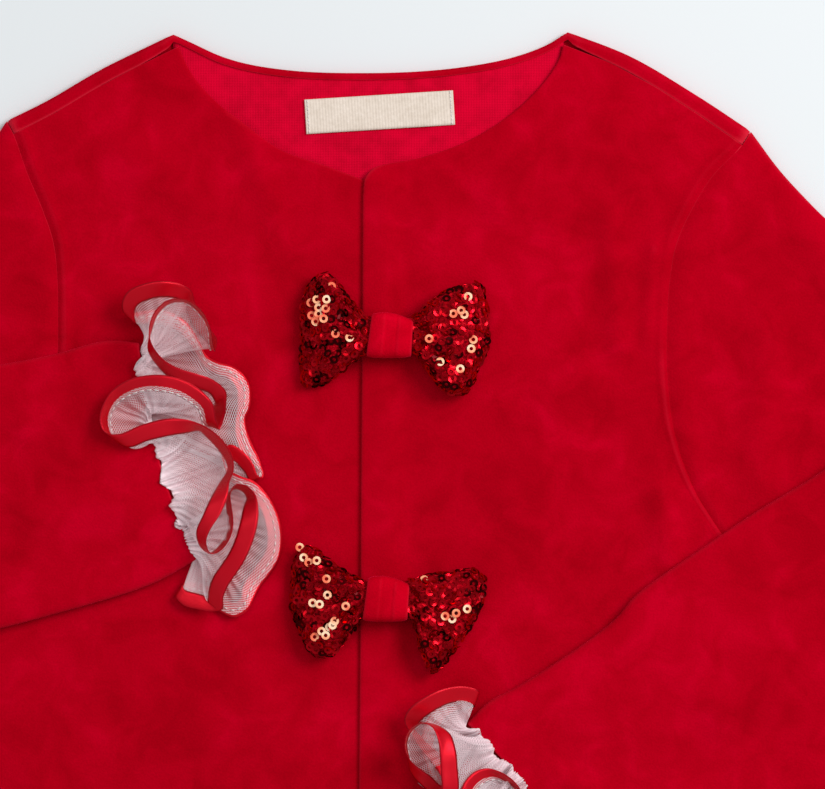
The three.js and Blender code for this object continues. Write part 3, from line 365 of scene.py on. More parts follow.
def smooth(low, high, value):
    share = np.clip((np.asarray(value, float) - low) / (high - low), 0, 1)
    return share * share * (3 - 2 * share)


def mix(first, second, share):
    return first + (second - first) * share


def unit(vectors):
    return vectors / np.maximum(np.linalg.norm(vectors, axis=-1, keepdims=True), 1e-9)


def run_of(points):
    """Length along a row of points, from its first one."""
    steps = np.linalg.norm(np.diff(points, axis=0), axis=1)
    return np.concatenate([[0], np.cumsum(steps)])


def runs(grid, axis):
    """Length along one axis of a grid, from its first row or column, at every point."""
    steps = np.linalg.norm(np.diff(grid, axis=axis), axis=2)
    return np.concatenate([0 * np.take(steps, [0], axis=axis), np.cumsum(steps, axis=axis)], axis=axis)


def pick(run, points, lengths):
    return np.stack([np.interp(lengths, run, column) for column in points.T], axis=-1)


def spline(points, closed=False, steps=40):
    """Dense points of a centripetal spline through the given ones, steps of them to each span."""
    knots = np.asarray(points, float)
    if closed:
        ends = [knots[-1]], [knots[0], knots[1]]
    else:
        ends = [2 * knots[0] - knots[1]], [2 * knots[-1] - knots[-2]]
    knots = np.vstack([ends[0], knots, ends[1]])
    share = np.linspace(0, 1, steps, endpoint=False)[:, None]
    spans = []
    for a, b, c, d in zip(knots, knots[1:], knots[2:], knots[3:]):
        before, here, after = (max(np.sum((q - p) ** 2), 1e-9) ** 0.25 for p, q in ((a, b), (b, c), (c, d)))
        start = ((b - a) / before - (c - a) / (before + here) + (c - b) / here) * here
        end = ((c - b) / here - (d - b) / (here + after) + (d - c) / after) * here
        square, cube = -3 * b + 3 * c - 2 * start - end, 2 * b - 2 * c + start + end
        spans.append(b + start * share + square * share ** 2 + cube * share ** 3)
    if not closed:
        spans.append(knots[-2:-1])
    return np.vstack(spans)


def curve(points):
    """The spline through the points, as a function of the share of its length."""
    dense = spline(points)
    run = run_of(dense)
    return lambda share: pick(run, dense, np.clip(share, 0, 1) * run[-1])


def fold_height(creases, points):
    """Height of soft ridges and troughs at plan points."""
    height = np.zeros(points.shape[:-1])
    for x, y, to_x, to_y, half, rise in creases:
        start, way = np.array([x, y]), np.array([to_x - x, to_y - y])
        share = np.clip((points - start) @ way / (way @ way), 0, 1)
        away = np.linalg.norm(points - start - share[..., None] * way, axis=-1)
        height += rise * np.exp(-((away / half) ** 2))
    return height


def ripple(points, size, seed=0.0):
    """Smooth noise from about -1 to 1 over plan points, with features of the given size."""
    scaled = points.reshape(-1, points.shape[-1])[:, :2] / size
    values = [noise.noise(Vector((x, y, seed))) for x, y in scaled]
    return np.array(values).reshape(points.shape[:-1])


def spaced(length, step, edge=(0, 0.15, 0.4, 0.8, 1.3)):
    """Shares of a length at even steps, with close ones near both ends for the rounded edges."""
    edge = np.array(edge)
    inside = np.linspace(edge[-1] + step, length - edge[-1] - step, max(2, round(length / step) - 2))
    return np.concatenate([edge, inside, length - edge[::-1]]) / length


# Meshes

def mesh_object(name, points, faces, corner_uv, material):
    """A smooth-shaded object from points in millimetres, riding on the jacket."""
    mesh = bpy.data.meshes.new(name)
    placed = (np.asarray(points) + SHIFT) * MM
    mesh.from_pydata(placed.tolist(), [], np.asarray(faces).tolist())
    if corner_uv is not None:
        layer = mesh.uv_layers.new(name="UVMap")
        layer.data.foreach_set("uv", np.asarray(corner_uv, np.float32).ravel())
    mesh.polygons.foreach_set("use_smooth", [True] * len(mesh.polygons))
    mesh.materials.append(material)
    piece = bpy.data.objects.new(name, mesh)
    bpy.context.scene.collection.objects.link(piece)
    return piece


def grid_normals(grid, closed):
    if closed:
        across = np.roll(grid, -1, axis=1) - np.roll(grid, 1, axis=1)
    else:
        across = np.gradient(grid, axis=1)
    return unit(np.cross(across, np.gradient(grid, axis=0)))


def grid_uv(grid, closed):
    """Millimetres along and across a grid, with one more column where it closes."""
    full = np.concatenate([grid, grid[:, :1]], axis=1) if closed else grid
    return np.stack([runs(full, 1), runs(full, 0)], axis=-1)


def cells(rows, columns, closed):
    """Corner places (row, column) of a grid's faces."""
    spans = columns if closed else columns - 1
    i, j = (part.ravel() for part in np.meshgrid(np.arange(rows - 1), np.arange(spans), indexing="ij"))
    return np.stack([np.stack([i, j], 1), np.stack([i, j + 1], 1), np.stack([i + 1, j + 1], 1),
                     np.stack([i + 1, j], 1)], axis=1)


def tube_mesh(name, grid, material, uv):
    """A surface of no thickness through a grid of points that closes round on itself."""
    rows, columns = grid.shape[:2]
    places = cells(rows, columns, True)
    faces = places[..., 0] * columns + places[..., 1] % columns
    return mesh_object(name, grid.reshape(-1, 3), faces, uv[places[..., 0], places[..., 1]], material)


def wall_mesh(name, outer, inner, material, closed):
    """A closed thin wall between two matching grids."""
    rows, columns = outer.shape[:2]
    skin = rows * columns
    uv = grid_uv((outer + inner) / 2, closed)
    places = cells(rows, columns, closed)
    spans = np.arange(columns if closed else columns - 1)
    index = places[..., 0] * columns + places[..., 1] % columns
    faces, looks = [index, index[:, ::-1] + skin], [places, places[:, ::-1]]

    def rim(first, second):
        a, b = (place[:, 0] * columns + place[:, 1] % columns for place in (first, second))
        faces.append(np.stack([b, a, a + skin, b + skin], axis=1))
        looks.append(np.stack([second, first, first, second], axis=1))

    top = np.stack([0 * spans, spans], 1)
    last = top + [rows - 1, 0]
    rim(top, top + [0, 1])
    rim(last + [0, 1], last)
    if not closed:
        down = np.arange(rows - 1)
        left = np.stack([down, 0 * down], 1)
        right = left + [0, columns - 1]
        rim(left + [1, 0], left)
        rim(right, right + [1, 0])
    faces, looks = np.concatenate(faces), np.concatenate(looks)
    points = np.concatenate([outer.reshape(-1, 3), inner.reshape(-1, 3)])
    a, b, c, d = (points[faces[:, k]] for k in range(4))
    volume = np.einsum("ij,ij->", a, np.cross(b, c)) + np.einsum("ij,ij->", a, np.cross(c, d))
    if volume < 0:
        faces, looks = faces[:, ::-1], looks[:, ::-1]
    return mesh_object(name, points, faces, uv[looks[..., 0], looks[..., 1]], material)


def edge_runs(grid, closed):
    """Distances of each point from the grid's first and last row, and from its first and last column."""
    v, u = runs(grid, 0), runs(grid, 1)
    far = np.full(u.shape, NO_EDGE)
    return v, v[-1] - v, far if closed else u, far if closed else u[:, -1:] - u


# How edges are rounded: the radius, and the share of the thickness that stays at the edge
CUT_EDGE = (0.8, 0.1)
TURNED_EDGE = (1.5, 0.1)
SEWN_EDGE = (0.5, 0.92)
NO_ROUNDING = (1, 1)


def cloth(name, middle, thickness, material, edges, closed=False):
    """A shell of even thickness about its middle surface. edges gives each edge's rounding radius and the
    share of the thickness that it keeps, for the first and last row and the first and last column."""
    half = np.full(middle.shape[:2], thickness / 2)
    for run, (radius, keep) in zip(edge_runs(middle, closed), edges):
        inside = 1 - np.clip(run / radius, 0, 1)
        half = np.minimum(half, thickness / 2 * (keep + (1 - keep) * np.sqrt(1 - inside ** 2)))
    offset = grid_normals(middle, closed) * half[..., None]
    return wall_mesh(name, middle + offset, middle - offset, material, closed)


def box_strip(places, directions, normals, size):
    """Small flat boxes, such as stitches: points and faces for all of them together."""
    length, width, height = size
    across = unit(np.cross(normals, directions))
    corners = np.array([(x, y, z) for z in (-0.5, 0.5) for x, y in
                        ((-0.5, -0.5), (0.5, -0.5), (0.5, 0.5), (-0.5, 0.5))])
    points = (places[:, None] + corners[None, :, :1] * length * directions[:, None]
              + corners[None, :, 1:2] * width * across[:, None]
              + corners[None, :, 2:] * height * normals[:, None])
    block = np.array([(3, 2, 1, 0), (4, 5, 6, 7), (0, 1, 5, 4), (1, 2, 6, 5), (2, 3, 7, 6), (3, 0, 4, 7)])
    faces = (np.arange(len(places))[:, None, None] * 8 + block).reshape(-1, 4)
    return points.reshape(-1, 3), faces


# Materials

def node(tree, kind, values=(), **settings):
    made = tree.nodes.new(kind)
    for name, value in settings.items():
        setattr(made, name, value)
    for key, value in dict(values).items():
        if isinstance(value, bpy.types.NodeSocket):
            tree.links.new(value, made.inputs[key])
        else:
            made.inputs[key].default_value = value
    return made


def math_node(tree, operation, first, second=0.0):
    return node(tree, "ShaderNodeMath", {0: first, 1: second}, operation=operation).outputs[0]


def multiply_add(tree, value, factor, added):
    values = {0: value, 1: factor, 2: added}
    return node(tree, "ShaderNodeMath", values, operation="MULTIPLY_ADD").outputs[0]


def map_range(tree, value, low, high, to_low, to_high):
    values = {0: value, 1: low, 2: high, 3: to_low, 4: to_high}
    return node(tree, "ShaderNodeMapRange", values).outputs[0]


def mixed(tree, factor, first, second, **settings):
    values = {"Factor": factor, 6: first, 7: second}
    return node(tree, "ShaderNodeMix", values, data_type="RGBA", **settings).outputs[2]


def wave_node(tree, place, scale, distortion, way="X"):
    values = {"Vector": place, "Scale": scale, "Distortion": distortion, "Detail": 2.0}
    return node(tree, "ShaderNodeTexWave", values, bands_direction=way).outputs["Fac"]


def object_place(tree):
    return node(tree, "ShaderNodeTexCoord").outputs["Object"]


def noise_node(tree, place, scale, detail=2.0, distortion=0.0):
    values = {"Vector": place, "Scale": scale, "Detail": detail, "Distortion": distortion}
    return node(tree, "ShaderNodeTexNoise", values).outputs["Fac"]


def ramp(tree, value, stops):
    made = node(tree, "ShaderNodeValToRGB", {"Fac": value})
    elements = made.color_ramp.elements
    while len(elements) < len(stops):
        elements.new(0.5)
    for element, (place, colour) in zip(elements, stops):
        element.position = place
        element.color = (*colour, 1) if len(colour) == 3 else colour
    return made.outputs["Color"]


def new_material(name, shader_values):
    material = bpy.data.materials.new(name)
    material.use_nodes = True
    tree = material.node_tree
    shader = tree.nodes["Principled BSDF"]
    for key, value in shader_values.items():
        shader.inputs[key].default_value = value
    return material, tree, shader


def tint(tree, shader, colour):
    tree.links.new(colour, shader.inputs["Base Color"])


def bump(tree, shader, height, distance, strength=1.0):
    made = node(tree, "ShaderNodeBump", {"Height": height, "Distance": distance, "Strength": strength})
    tree.links.new(made.outputs["Normal"], shader.inputs["Normal"])


def noise_material(name, shader_values, grain, stops, depth=()):
    """A material whose colour follows one noise. Where depth is given, bumps follow it too."""
    material, tree, shader = new_material(name, shader_values)
    tone = noise_node(tree, object_place(tree), *grain)
    tint(tree, shader, ramp(tree, tone, stops))
    if depth:
        bump(tree, shader, tone, *depth)
    return material


def velour_material(name, painted_light_gain):
    """Brushed patches under a speckled pile, with a painted sheen that turns the colour paler along the sharp
    edges.
    """
    material, tree, shader = new_material(name, {
        "Roughness": 0.95, "Specular IOR Level": 0.0, "Sheen Weight": 0.8, "Sheen Roughness": 0.22,
        "Sheen Tint": (1, 0.02, 0.09, 1),
    })
    place = object_place(tree)
    patches = noise_node(tree, place, 26, 3.0, 0.9)
    brushed = noise_node(tree, place, 75, 4.0, 0.8)
    pile = noise_node(tree, place, 1500, 2.0)
    shade = multiply_add(tree, brushed, 0.55, math_node(tree, "MULTIPLY", patches, 0.6))
    colour = ramp(tree, shade, [
        (0.42, (0.385, 0.0, 0.007)), (0.53, (0.44, 0.0, 0.0088)), (0.62, (0.475, 0.0, 0.0105)),
        (0.74, (0.55, 0.0, 0.015)),
    ])
    # The gain scales the pile's speckle; above 1 it paints the whole cloth lighter
    speck = ramp(tree, pile, [(0.3, [0.92 * painted_light_gain] * 3), (0.7, [1.06 * painted_light_gain] * 3)])
    blend = mixed(tree, 1.0, colour, speck, blend_type="MULTIPLY")
    # Painted sheen: where the mesh's pointiness marks a sharp convex edge, the colour turns a paler pink
    point = node(tree, "ShaderNodeNewGeometry").outputs["Pointiness"]
    rim = map_range(tree, point, 0.515, 0.6, 0.0, 0.55)
    tint(tree, shader, mixed(tree, rim, blend, (0.86, 0.035, 0.07, 1)))
    bump(tree, shader, pile, 0.0004, 0.35)
    return material


def lining_material():
    material, tree, shader = new_material("lining", {
        "Roughness": 0.85, "Specular IOR Level": 0.04, "Sheen Weight": 0.05, "Sheen Tint": (1, 0.02, 0.1, 1),
    })
    place = object_place(tree)
    warp, weft = (wave_node(tree, place, 560.0, 1.2, way) for way in "XY")
    weave = math_node(tree, "ADD", warp, weft)
    shade = multiply_add(tree, weave, 0.16, noise_node(tree, place, 180, 4.0))
    tint(tree, shader, ramp(tree, shade, [(0.4, (0.52, 0.0, 0.017)), (0.8, (0.74, 0.0, 0.028))]))
    bump(tree, shader, weave, 0.0003, 0.4)
    return material


def label_material():
    values = {"Roughness": 0.6, "Specular IOR Level": 0.3, "Sheen Weight": 0.15}
    material, tree, shader = new_material("label", values)
    place = object_place(tree)
    thread = noise_node(tree, place, 900, 3.0)
    soft = noise_node(tree, place, 120, 3.0)
    shade = multiply_add(tree, thread, 0.5, math_node(tree, "MULTIPLY", soft, 0.5))
    tint(tree, shader, ramp(tree, shade, [(0.3, (0.68, 0.57, 0.47)), (0.7, (0.86, 0.74, 0.64))]))
    bump(tree, shader, thread, 0.0002, 0.4)
    return material


def tulle_material():
    """White net, with a pink base colour: painted light bounced from the red velour. Its holes come from the
    threads' pattern over the cloth's own millimetres, and it grows dense towards the gathered root."""
    material, tree, shader = new_material("tulle", {
        "Base Color": (1.0, 0.82, 0.86, 1), "Roughness": 0.7, "Specular IOR Level": 0.2,
        "Sheen Weight": 0.1,
    })
    uv = node(tree, "ShaderNodeUVMap").outputs[0]
    u, v = node(tree, "ShaderNodeSeparateXYZ", {0: uv}).outputs[:2]
    lines = []
    for direction in (NET_SLANT, -NET_SLANT):
        slant = multiply_add(tree, u, direction, v)
        place = math_node(tree, "FRACT", math_node(tree, "DIVIDE", slant, NET_PITCH))
        off = math_node(tree, "ABSOLUTE", math_node(tree, "SUBTRACT", place, 0.5))
        lines.append(map_range(tree, off, NET_THREAD - 0.05, NET_THREAD + 0.05, 1.0, 0.0))
    net = math_node(tree, "MAXIMUM", *lines)
    gathers = map_range(tree, v, 2.0, 9.0, 0.82, 0.0)
    alpha = math_node(tree, "MAXIMUM", math_node(tree, "MULTIPLY", net, 0.7), gathers)
    tree.links.new(alpha, shader.inputs["Alpha"])
    return material


def satin_material():
    """Red satin, darker along both selvedges."""
    material, tree, shader = new_material("satin", {
        "Roughness": 0.3, "Metallic": 0.45, "Specular IOR Level": 1.0, "Specular Tint": (1, 0.2, 0.24, 1),
        "Anisotropic": 0.5,
    })
    uv = node(tree, "ShaderNodeUVMap").outputs[0]
    across = node(tree, "ShaderNodeSeparateXYZ", {0: uv}).outputs[1]
    half = RIBBON_WIDTH / 2
    away = math_node(tree, "ABSOLUTE", math_node(tree, "SUBTRACT", across, half))
    selvedge = map_range(tree, away, half - 0.6, half - 0.3, 0.0, 1.0)
    tint(tree, shader, ramp(tree, selvedge, [(0.0, (0.66, 0.002, 0.014)), (1.0, (0.40, 0.0, 0.008))]))
    bump(tree, shader, wave_node(tree, uv, 0.8, 0.6), 0.00012, 0.25)
    return material


def sequin_material(name, colour, roughness):
    """Red foil, darker in patches."""
    dark = tuple(part * 0.55 for part in colour)
    return noise_material(name, {
        "Base Color": (*colour, 1), "Metallic": 1.0, "Roughness": roughness, "Coat Weight": 0.06,
        "Coat Roughness": 0.08, "Specular Tint": (1, 0.04, 0.05, 1),
    }, (240, 1.0), [(0.35, dark), (0.65, colour)])


MATERIALS = {
    "velour": velour_material("velour", 1.0),
    # The knot's velour is the same cloth 1.3 times lighter: painted light on the raised knot
    "knot_velour_painted_light": velour_material("knot_velour_painted_light", 1.3),
    "lining": lining_material(),
    "label": label_material(),
    "tulle": tulle_material(),
    "ribbon": satin_material(),
    "ground": noise_material(
        "bow_ground", {"Roughness": 0.6, "Specular IOR Level": 0.3, "Specular Tint": (1, 0.02, 0.03, 1)},
        (700, 4.0, 1.5), [(0.36, (0.10, 0.0, 0.002)), (0.56, (0.36, 0.0, 0.006)), (0.7, (0.66, 0.01, 0.02))],
        (0.0005, 0.6)),
    "sequin": sequin_material("sequin", (0.62, 0.002, 0.010), 0.24),
    # Near-black foil: painted shade for sequins turned from the light
    "sequin_painted_shade": sequin_material("sequin_painted_shade", (0.06, 0.0, 0.001), 0.3),
    # Pale cream-orange foil, barely metallic: a painted glint for the rings that catch the light
    "sequin_painted_glint": noise_material(
        "foil", {"Roughness": 0.4, "Metallic": 0.15, "Specular IOR Level": 0.4},
        (210, 1.0), [(0.38, (0.92, 0.16, 0.07)), (0.5, (1.0, 0.46, 0.24)), (0.62, (1.0, 0.72, 0.48))]),
    "thread": noise_material(
        "thread", {"Roughness": 0.55, "Specular IOR Level": 0.3},
        (900, 2.0), [(0.3, (0.74, 0.66, 0.64)), (0.7, (0.92, 0.86, 0.84))]),
}
FLOOR_LOOK = noise_material(
    "floor", {"Roughness": 0.9, "Specular IOR Level": 0.1},
    (3.0, 2.0), [(0.3, (0.80, 0.83, 0.845)), (0.7, (0.82, 0.85, 0.865))])


# Body

def body_side(side, row):
    """Outer edge of the body at a row number: the side seam below the armhole, then the armhole."""
    armhole = curve(side["armhole"])
    hem = np.array([side["sign"] * HEM_HALF, HEM_Y + HEM_RISE])
    low = mix(hem, armhole(1), np.clip(row / BODY_ROWS, 0, 1)[:, None])
    share = np.interp(row, BODY_ROWS + np.arange(len(ARM_SHARES)), ARM_SHARES)
    return np.where((row < BODY_ROWS)[:, None], low, armhole(share))


def squarer(value, power):
    """A sine or cosine raised to a power that keeps its sign, so that a circle fills its square more."""
    return np.sign(value) * np.abs(value) ** power


def inset_line(points, depth):
    """Plan points moved in from an edge that is drawn from left to right."""
    way = unit(np.vstack([points[1:], points[-1:]]) - np.vstack([points[:1], points[:-1]]))
    return points + depth * np.stack([way[:, 1], -way[:, 0]], axis=1)


def shoulder_seam(side):
    flip = np.array([side["sign"], 1])
    edge = curve(side["shoulder"])(np.linspace(0, 1, 5))
    return inset_line(edge * flip, SHOULDER_LIP + SEAM_GAP) * flip


def centre_edge(side, row, rows):
    """Inner edge of a front at a row number: up the opening, then round the neck to the shoulder."""
    neck = curve([*side["neck"], shoulder_seam(side)[0]])
    corner = side["neck"][0]
    opening_rows = rows - len(NECK_SHARES)
    share = np.clip(row / opening_rows, 0, 1)[:, None]
    low = mix(np.array([side["opening"][1], HEM_Y]), np.array([side["opening"][0], corner[1]]), share)
    up = np.interp(row, opening_rows + np.arange(len(NECK_SHARES)), NECK_SHARES)
    return np.where((row < opening_rows)[:, None], low, neck(up))


def shoulder_bow(side, across):
    """How far the shoulder seam leaves the straight line between its ends, at shares of its length."""
    seam = shoulder_seam(side)
    run = run_of(seam)
    return pick(run, seam, across * run[-1]) - mix(seam[0], seam[-1], across[:, None])


def seam_profile(distance):
    """The cloth's height beside a seam: pulled down at the stitches, with a soft ridge next to them."""
    return 0.55 * np.exp(-(((distance - 3) / 1.7) ** 2)) - 0.5 * np.exp(-((distance / 1.3) ** 2))


def front(name, side):
    rows = BODY_ROWS + len(ARM_SHARES)
    row = spaced(-HEM_Y, 2.4) * (rows - 1)
    outer, inner = body_side(side, row), centre_edge(side, row, rows)
    width = np.linalg.norm(outer - inner, axis=1)[:, None]
    across = spaced(FRONT_WIDTH, 1.8)[None]
    plan = mix(inner[:, None], outer[:, None], across[..., None])
    plan += shoulder_bow(side, across[0])[None] * (row[:, None, None] / (rows - 1)) ** 6
    inside = smooth(LIFT_END, 2 * LIFT_END, np.abs(plan[..., 0])) * smooth(0, 0.12, 1 - across)
    inside = inside * smooth(0, 2, rows - 1 - row)[:, None] * smooth(0, 2, row)[:, None]
    fold = inside * fold_height(CREASES["front"], plan)
    soft = 0.35 * ripple(plan, 34, 1.7) + 0.16 * ripple(plan, 13, 5.1)
    fold = fold + soft * smooth(0, 14, across * width) * smooth(0, 14, (1 - across) * width)
    lift = 0
    if side["sign"] > 0:
        lift = (VELOUR + GAP) * smooth(LIFT_END, LIFTED_WIDTH, across * width) * smooth(11, 10, row)[:, None]
    beside = (1 - across) * width
    seam_line = smooth(BODY_ROWS, BODY_ROWS + 0.6, row)[:, None] * seam_profile(beside)
    level = FRONT_LOW + VELOUR / 2 + lift + fold + seam_line
    middle = np.concatenate([plan, level[..., None]], axis=-1)
    return cloth(name, middle, VELOUR, MATERIALS["velour"], [CUT_EDGE, SEWN_EDGE, TURNED_EDGE, SEWN_EDGE])


def front_rim(side):
    """The front's shoulder edge in plan, as front() lays it."""
    rows = BODY_ROWS + len(ARM_SHARES)
    last = np.array([rows - 1.0])
    across = np.linspace(0, 1, 400)
    straight = mix(centre_edge(side, last, rows), body_side(side, last), across[:, None])
    return straight + shoulder_bow(side, across)


def back_rim():
    """Top edge of the back from left to right: shoulder, neck and shoulder."""
    left = curve(SIDES["right"]["shoulder"])(np.linspace(1, 0, 40))
    neck = curve(BACK_NECK)(np.linspace(0, 1, 70))[1:-1]
    right = curve(SIDES["left"]["shoulder"])(np.linspace(0, 1, 40))
    return np.vstack([left, neck, right])


def smoothed(values, width):
    """Values averaged over their neighbours, with the ends kept."""
    padded = np.vstack([values[:1]] * width + [values] + [values[-1:]] * width)
    weights = np.ones(2 * width + 1) / (2 * width + 1)
    return np.stack([np.convolve(column, weights, "valid") for column in padded.T], axis=1)


def past_neck(x, fade):
    """0 along the back's neck edge and 1 along its shoulders."""
    left, right = BACK_NECK[0][0], BACK_NECK[-1][0]
    return np.maximum(smooth(-left - 1, fade - left, -x), smooth(right - 1, fade + right, x))


def back():
    rim = back_rim()
    row = spaced(-HEM_Y, 5)[:-1] * (BODY_ROWS + len(ARM_SHARES) - 1)
    left, right = body_side(SIDES["right"], row), body_side(SIDES["left"], row)
    across = ((rim[:, 0] - rim[0, 0]) / (rim[-1, 0] - rim[0, 0]))[:, None]
    crown = rim - mix(rim[0], rim[-1], across)
    share = np.clip((row - BODY_ROWS) / len(ARM_SHARES), 0, 1)[:, None, None] ** 2
    flat = mix(left[:, None], right[:, None], across) + crown * share
    flat = np.concatenate([flat, np.full(flat.shape[:2] + (1,), VELOUR / 2)], axis=-1)
    normal = smoothed(inset_line(rim, 1) - rim, 9)
    height = mix(NECK_LIP_TOP, FRONT_TOP, past_neck(rim[:, 0], 4))
    fronts = np.concatenate([front_rim(side) for side in SIDES.values()])
    near = np.min(np.linalg.norm(rim[:, None] - fronts[None], axis=2), axis=1)
    depth = mix(NECK_LIP, smoothed(near[:, None], 5)[:, 0] - SEAM_GAP, past_neck(rim[:, 0], 3))
    radius = (height - VELOUR) / 2
    turned = []
    for angle in np.linspace(0, math.pi, 14):
        inwards = height / 2 - radius * math.sin(angle)
        plan = rim + normal * inwards[:, None]
        turned.append(np.column_stack([plan, height / 2 - radius * math.cos(angle)]))
    for part in (0.5, 0.8, 1):
        plan = rim + normal * mix(height / 2, depth, part)[:, None]
        turned.append(np.column_stack([plan, height / 2 + radius]))
    middle = np.concatenate([flat, np.stack(turned)])
    return cloth("back_cloth", middle, VELOUR, MATERIALS["velour"],
                 [CUT_EDGE, (0.5, 0.9), (1.0, 0.6), (1.0, 0.6)])


def lining():
    rim = back_rim()[39:108]
    top = rim + smoothed(inset_line(rim, 1) - rim, 4) * (NECK_LIP * 0.4)
    down = np.linspace(0, 1, 40)[:, None]
    x = top[:, 0] * (1 - 0.12 * down)
    y = mix(top[:, 1], -LINING_DEPTH, down)
    plan = np.stack([x, y], axis=-1)
    fade = smooth(0, 0.12, down) * smooth(0, 0.12, 1 - down)
    level = LINING_LOW + LINING / 2 + fade * 0.22 * ripple(plan, 12, 3.3)
    middle = np.concatenate([plan, level[..., None]], axis=-1)
    return cloth("neck_lining", middle, LINING, MATERIALS["lining"], [(0.4, 0.3)] * 4)


def label():
    """Ribbed tape: fine ribs across it, slightly cupped between its stitched ends."""
    x, y = np.meshgrid(np.linspace(-0.5, 0.5, 205) * LABEL["width"],
                       np.linspace(-0.5, 0.5, 15) * LABEL["height"])
    ribs = LABEL_RIB["height"] * np.cos(2 * math.pi * x / LABEL_RIB["step"])
    cup = LABEL_CUP * (1 - (2 * x / LABEL["width"]) ** 2) * (1 - 0.6 * (2 * y / LABEL["height"]) ** 2)
    z = LINING_TOP + GAP + LABEL_LIFT + ribs + cup
    c, s = math.cos(LABEL["turn"]), math.sin(LABEL["turn"])
    middle = np.stack([LABEL["x"] + c * x - s * y, LABEL["y"] + s * x + c * y, z], axis=-1)
    piece = cloth("label_tape", middle, LABEL["thick"], MATERIALS["label"], [(0.3, 0.4)] * 4)
    ends = []
    level = LINING_TOP + GAP + LABEL_SEAM["lift"]
    for side in (-1, 1):
        for y0 in np.linspace(-LABEL_SEAM["half"], LABEL_SEAM["half"], LABEL_STITCHES):
            x0 = side * (LABEL["width"] / 2 - LABEL_SEAM["inset"])
            ends.append((LABEL["x"] + c * x0 - s * y0, LABEL["y"] + s * x0 + c * y0, level))
    way = np.tile([-s, c, 0], (len(ends), 1)).astype(float)
    up = np.tile([0, 0, 1.0], (len(ends), 1))
    points, faces = box_strip(np.array(ends), way, up, LABEL_STITCH)
    stitches = mesh_object("label_stitches", points, faces, None, MATERIALS["thread"])
    return piece, stitches


# Sleeves

def cuff_frame(side, shape):
    """The cuff's outer corner, the ways along the cuff and out from it, and its width."""
    top, bottom = np.array(shape["fore_out"][-1]), np.array(shape["fore_in"][-1])
    along = unit(bottom - top)
    away = side["sign"] * np.array([along[1], -along[0]])
    return top, along, away, np.linalg.norm(bottom - top)


def sleeve_ring():
    """Places round the flattened tube: shares across it and the face, -1 below and 1 above."""
    share = (1 - np.cos(np.linspace(0, math.pi, SLEEVE_HALF_RING))) / 2
    face = np.concatenate([-np.ones(SLEEVE_HALF_RING), np.ones(SLEEVE_HALF_RING - 2)])
    return np.concatenate([share, share[-2:0:-1]]), face


def sleeve(name, side, shape):
    sign = side["sign"]
    armhole = curve(side["armhole"])
    samples = np.linspace(0, 1, 300)
    along = unit(np.gradient(armhole(samples), axis=0))
    moved = armhole(samples) + SEAM_GAP * sign * np.stack([-along[:, 1], along[:, 0]], axis=1)
    seam = lambda share: pick(samples, moved, share)
    upper_out = curve([seam(np.array(0.0)), *shape["upper_out"]])
    upper_in = curve([seam(np.array(1.0)), *shape["upper_in"]])
    fore_out, fore_in = curve(shape["fore_out"]), curve(shape["fore_in"])
    share, face = sleeve_ring()
    full = np.sqrt(np.maximum(0, 1 - np.abs(2 * share - 1) ** SLEEVE_SIDE_POWER))
    middle_level = SLEEVE_DEEP / 2
    deep = SLEEVE_DEEP / 2 - VELOUR / 2
    rings = []

    def across(a, b):
        inset = VELOUR / 2 / np.linalg.norm(b - a)
        return inset + share * (1 - 2 * inset)

    for t in spaced(UPPER_LENGTH, 2.2)[:-4]:
        a, b = upper_out(t), upper_in(t)
        q = across(a, b)
        bow = seam(q) - mix(seam(np.array(0.0)), seam(np.array(1.0)), q[:, None])
        plan = mix(a, b, q[:, None]) + bow * (1 - t) ** 2
        relief = (face > 0) * full ** 4 * smooth(0, 0.25, t)
        fold = relief * (fold_height(CREASES[name + "_upper"], plan) + 0.3 * ripple(plan, 22, 2.2))
        fold = fold + (face > 0) * full ** 4 * seam_profile(UPPER_LENGTH * t)
        rings.append(np.column_stack([plan, middle_level + face * deep * full + fold]))
    corner_out, corner_in = upper_out(1.0), upper_in(1.0)
    way = unit(corner_in - corner_out)
    out = sign * np.array([-way[1], way[0]])
    q = across(corner_out, corner_in)
    elbow = (2 * middle_level + ELBOW_LOW) / 2
    radius = elbow - middle_level
    for angle in np.linspace(-math.pi / 2, math.pi / 2, 15):
        reach = (radius - face * deep * full) * math.cos(angle)
        plan = mix(corner_out, corner_in, q[:, None]) + reach[:, None] * out
        rings.append(np.column_stack([plan, elbow + (radius - face * deep * full) * math.sin(angle)]))
    away = cuff_frame(side, shape)[2]
    for t in spaced(FORE_LENGTH, 1.9)[2:]:
        a, b = fore_out(t), fore_in(t)
        q = across(a, b)
        plan = mix(a, b, q[:, None]) - (4 * CUFF_BOW * q * (1 - q) * t ** 6)[:, None] * away
        level = mix(ELBOW_LOW, FOREARM_LOW, smooth(0, 0.4, t)) + middle_level
        relief = (face < 0) * full ** 4 * smooth(0, 0.12, 1 - t)
        fold = relief * (fold_height(CREASES[name + "_fore"], plan) + 0.3 * ripple(plan, 24, 7.9))
        rings.append(np.column_stack([plan, level - face * deep * full + fold]))
    return cloth(f"sleeve_cloth_{name}", np.stack(rings), VELOUR, MATERIALS["velour"],
                 [SEWN_EDGE, CUT_EDGE, NO_ROUNDING, NO_ROUNDING], closed=True)


# Ruffles

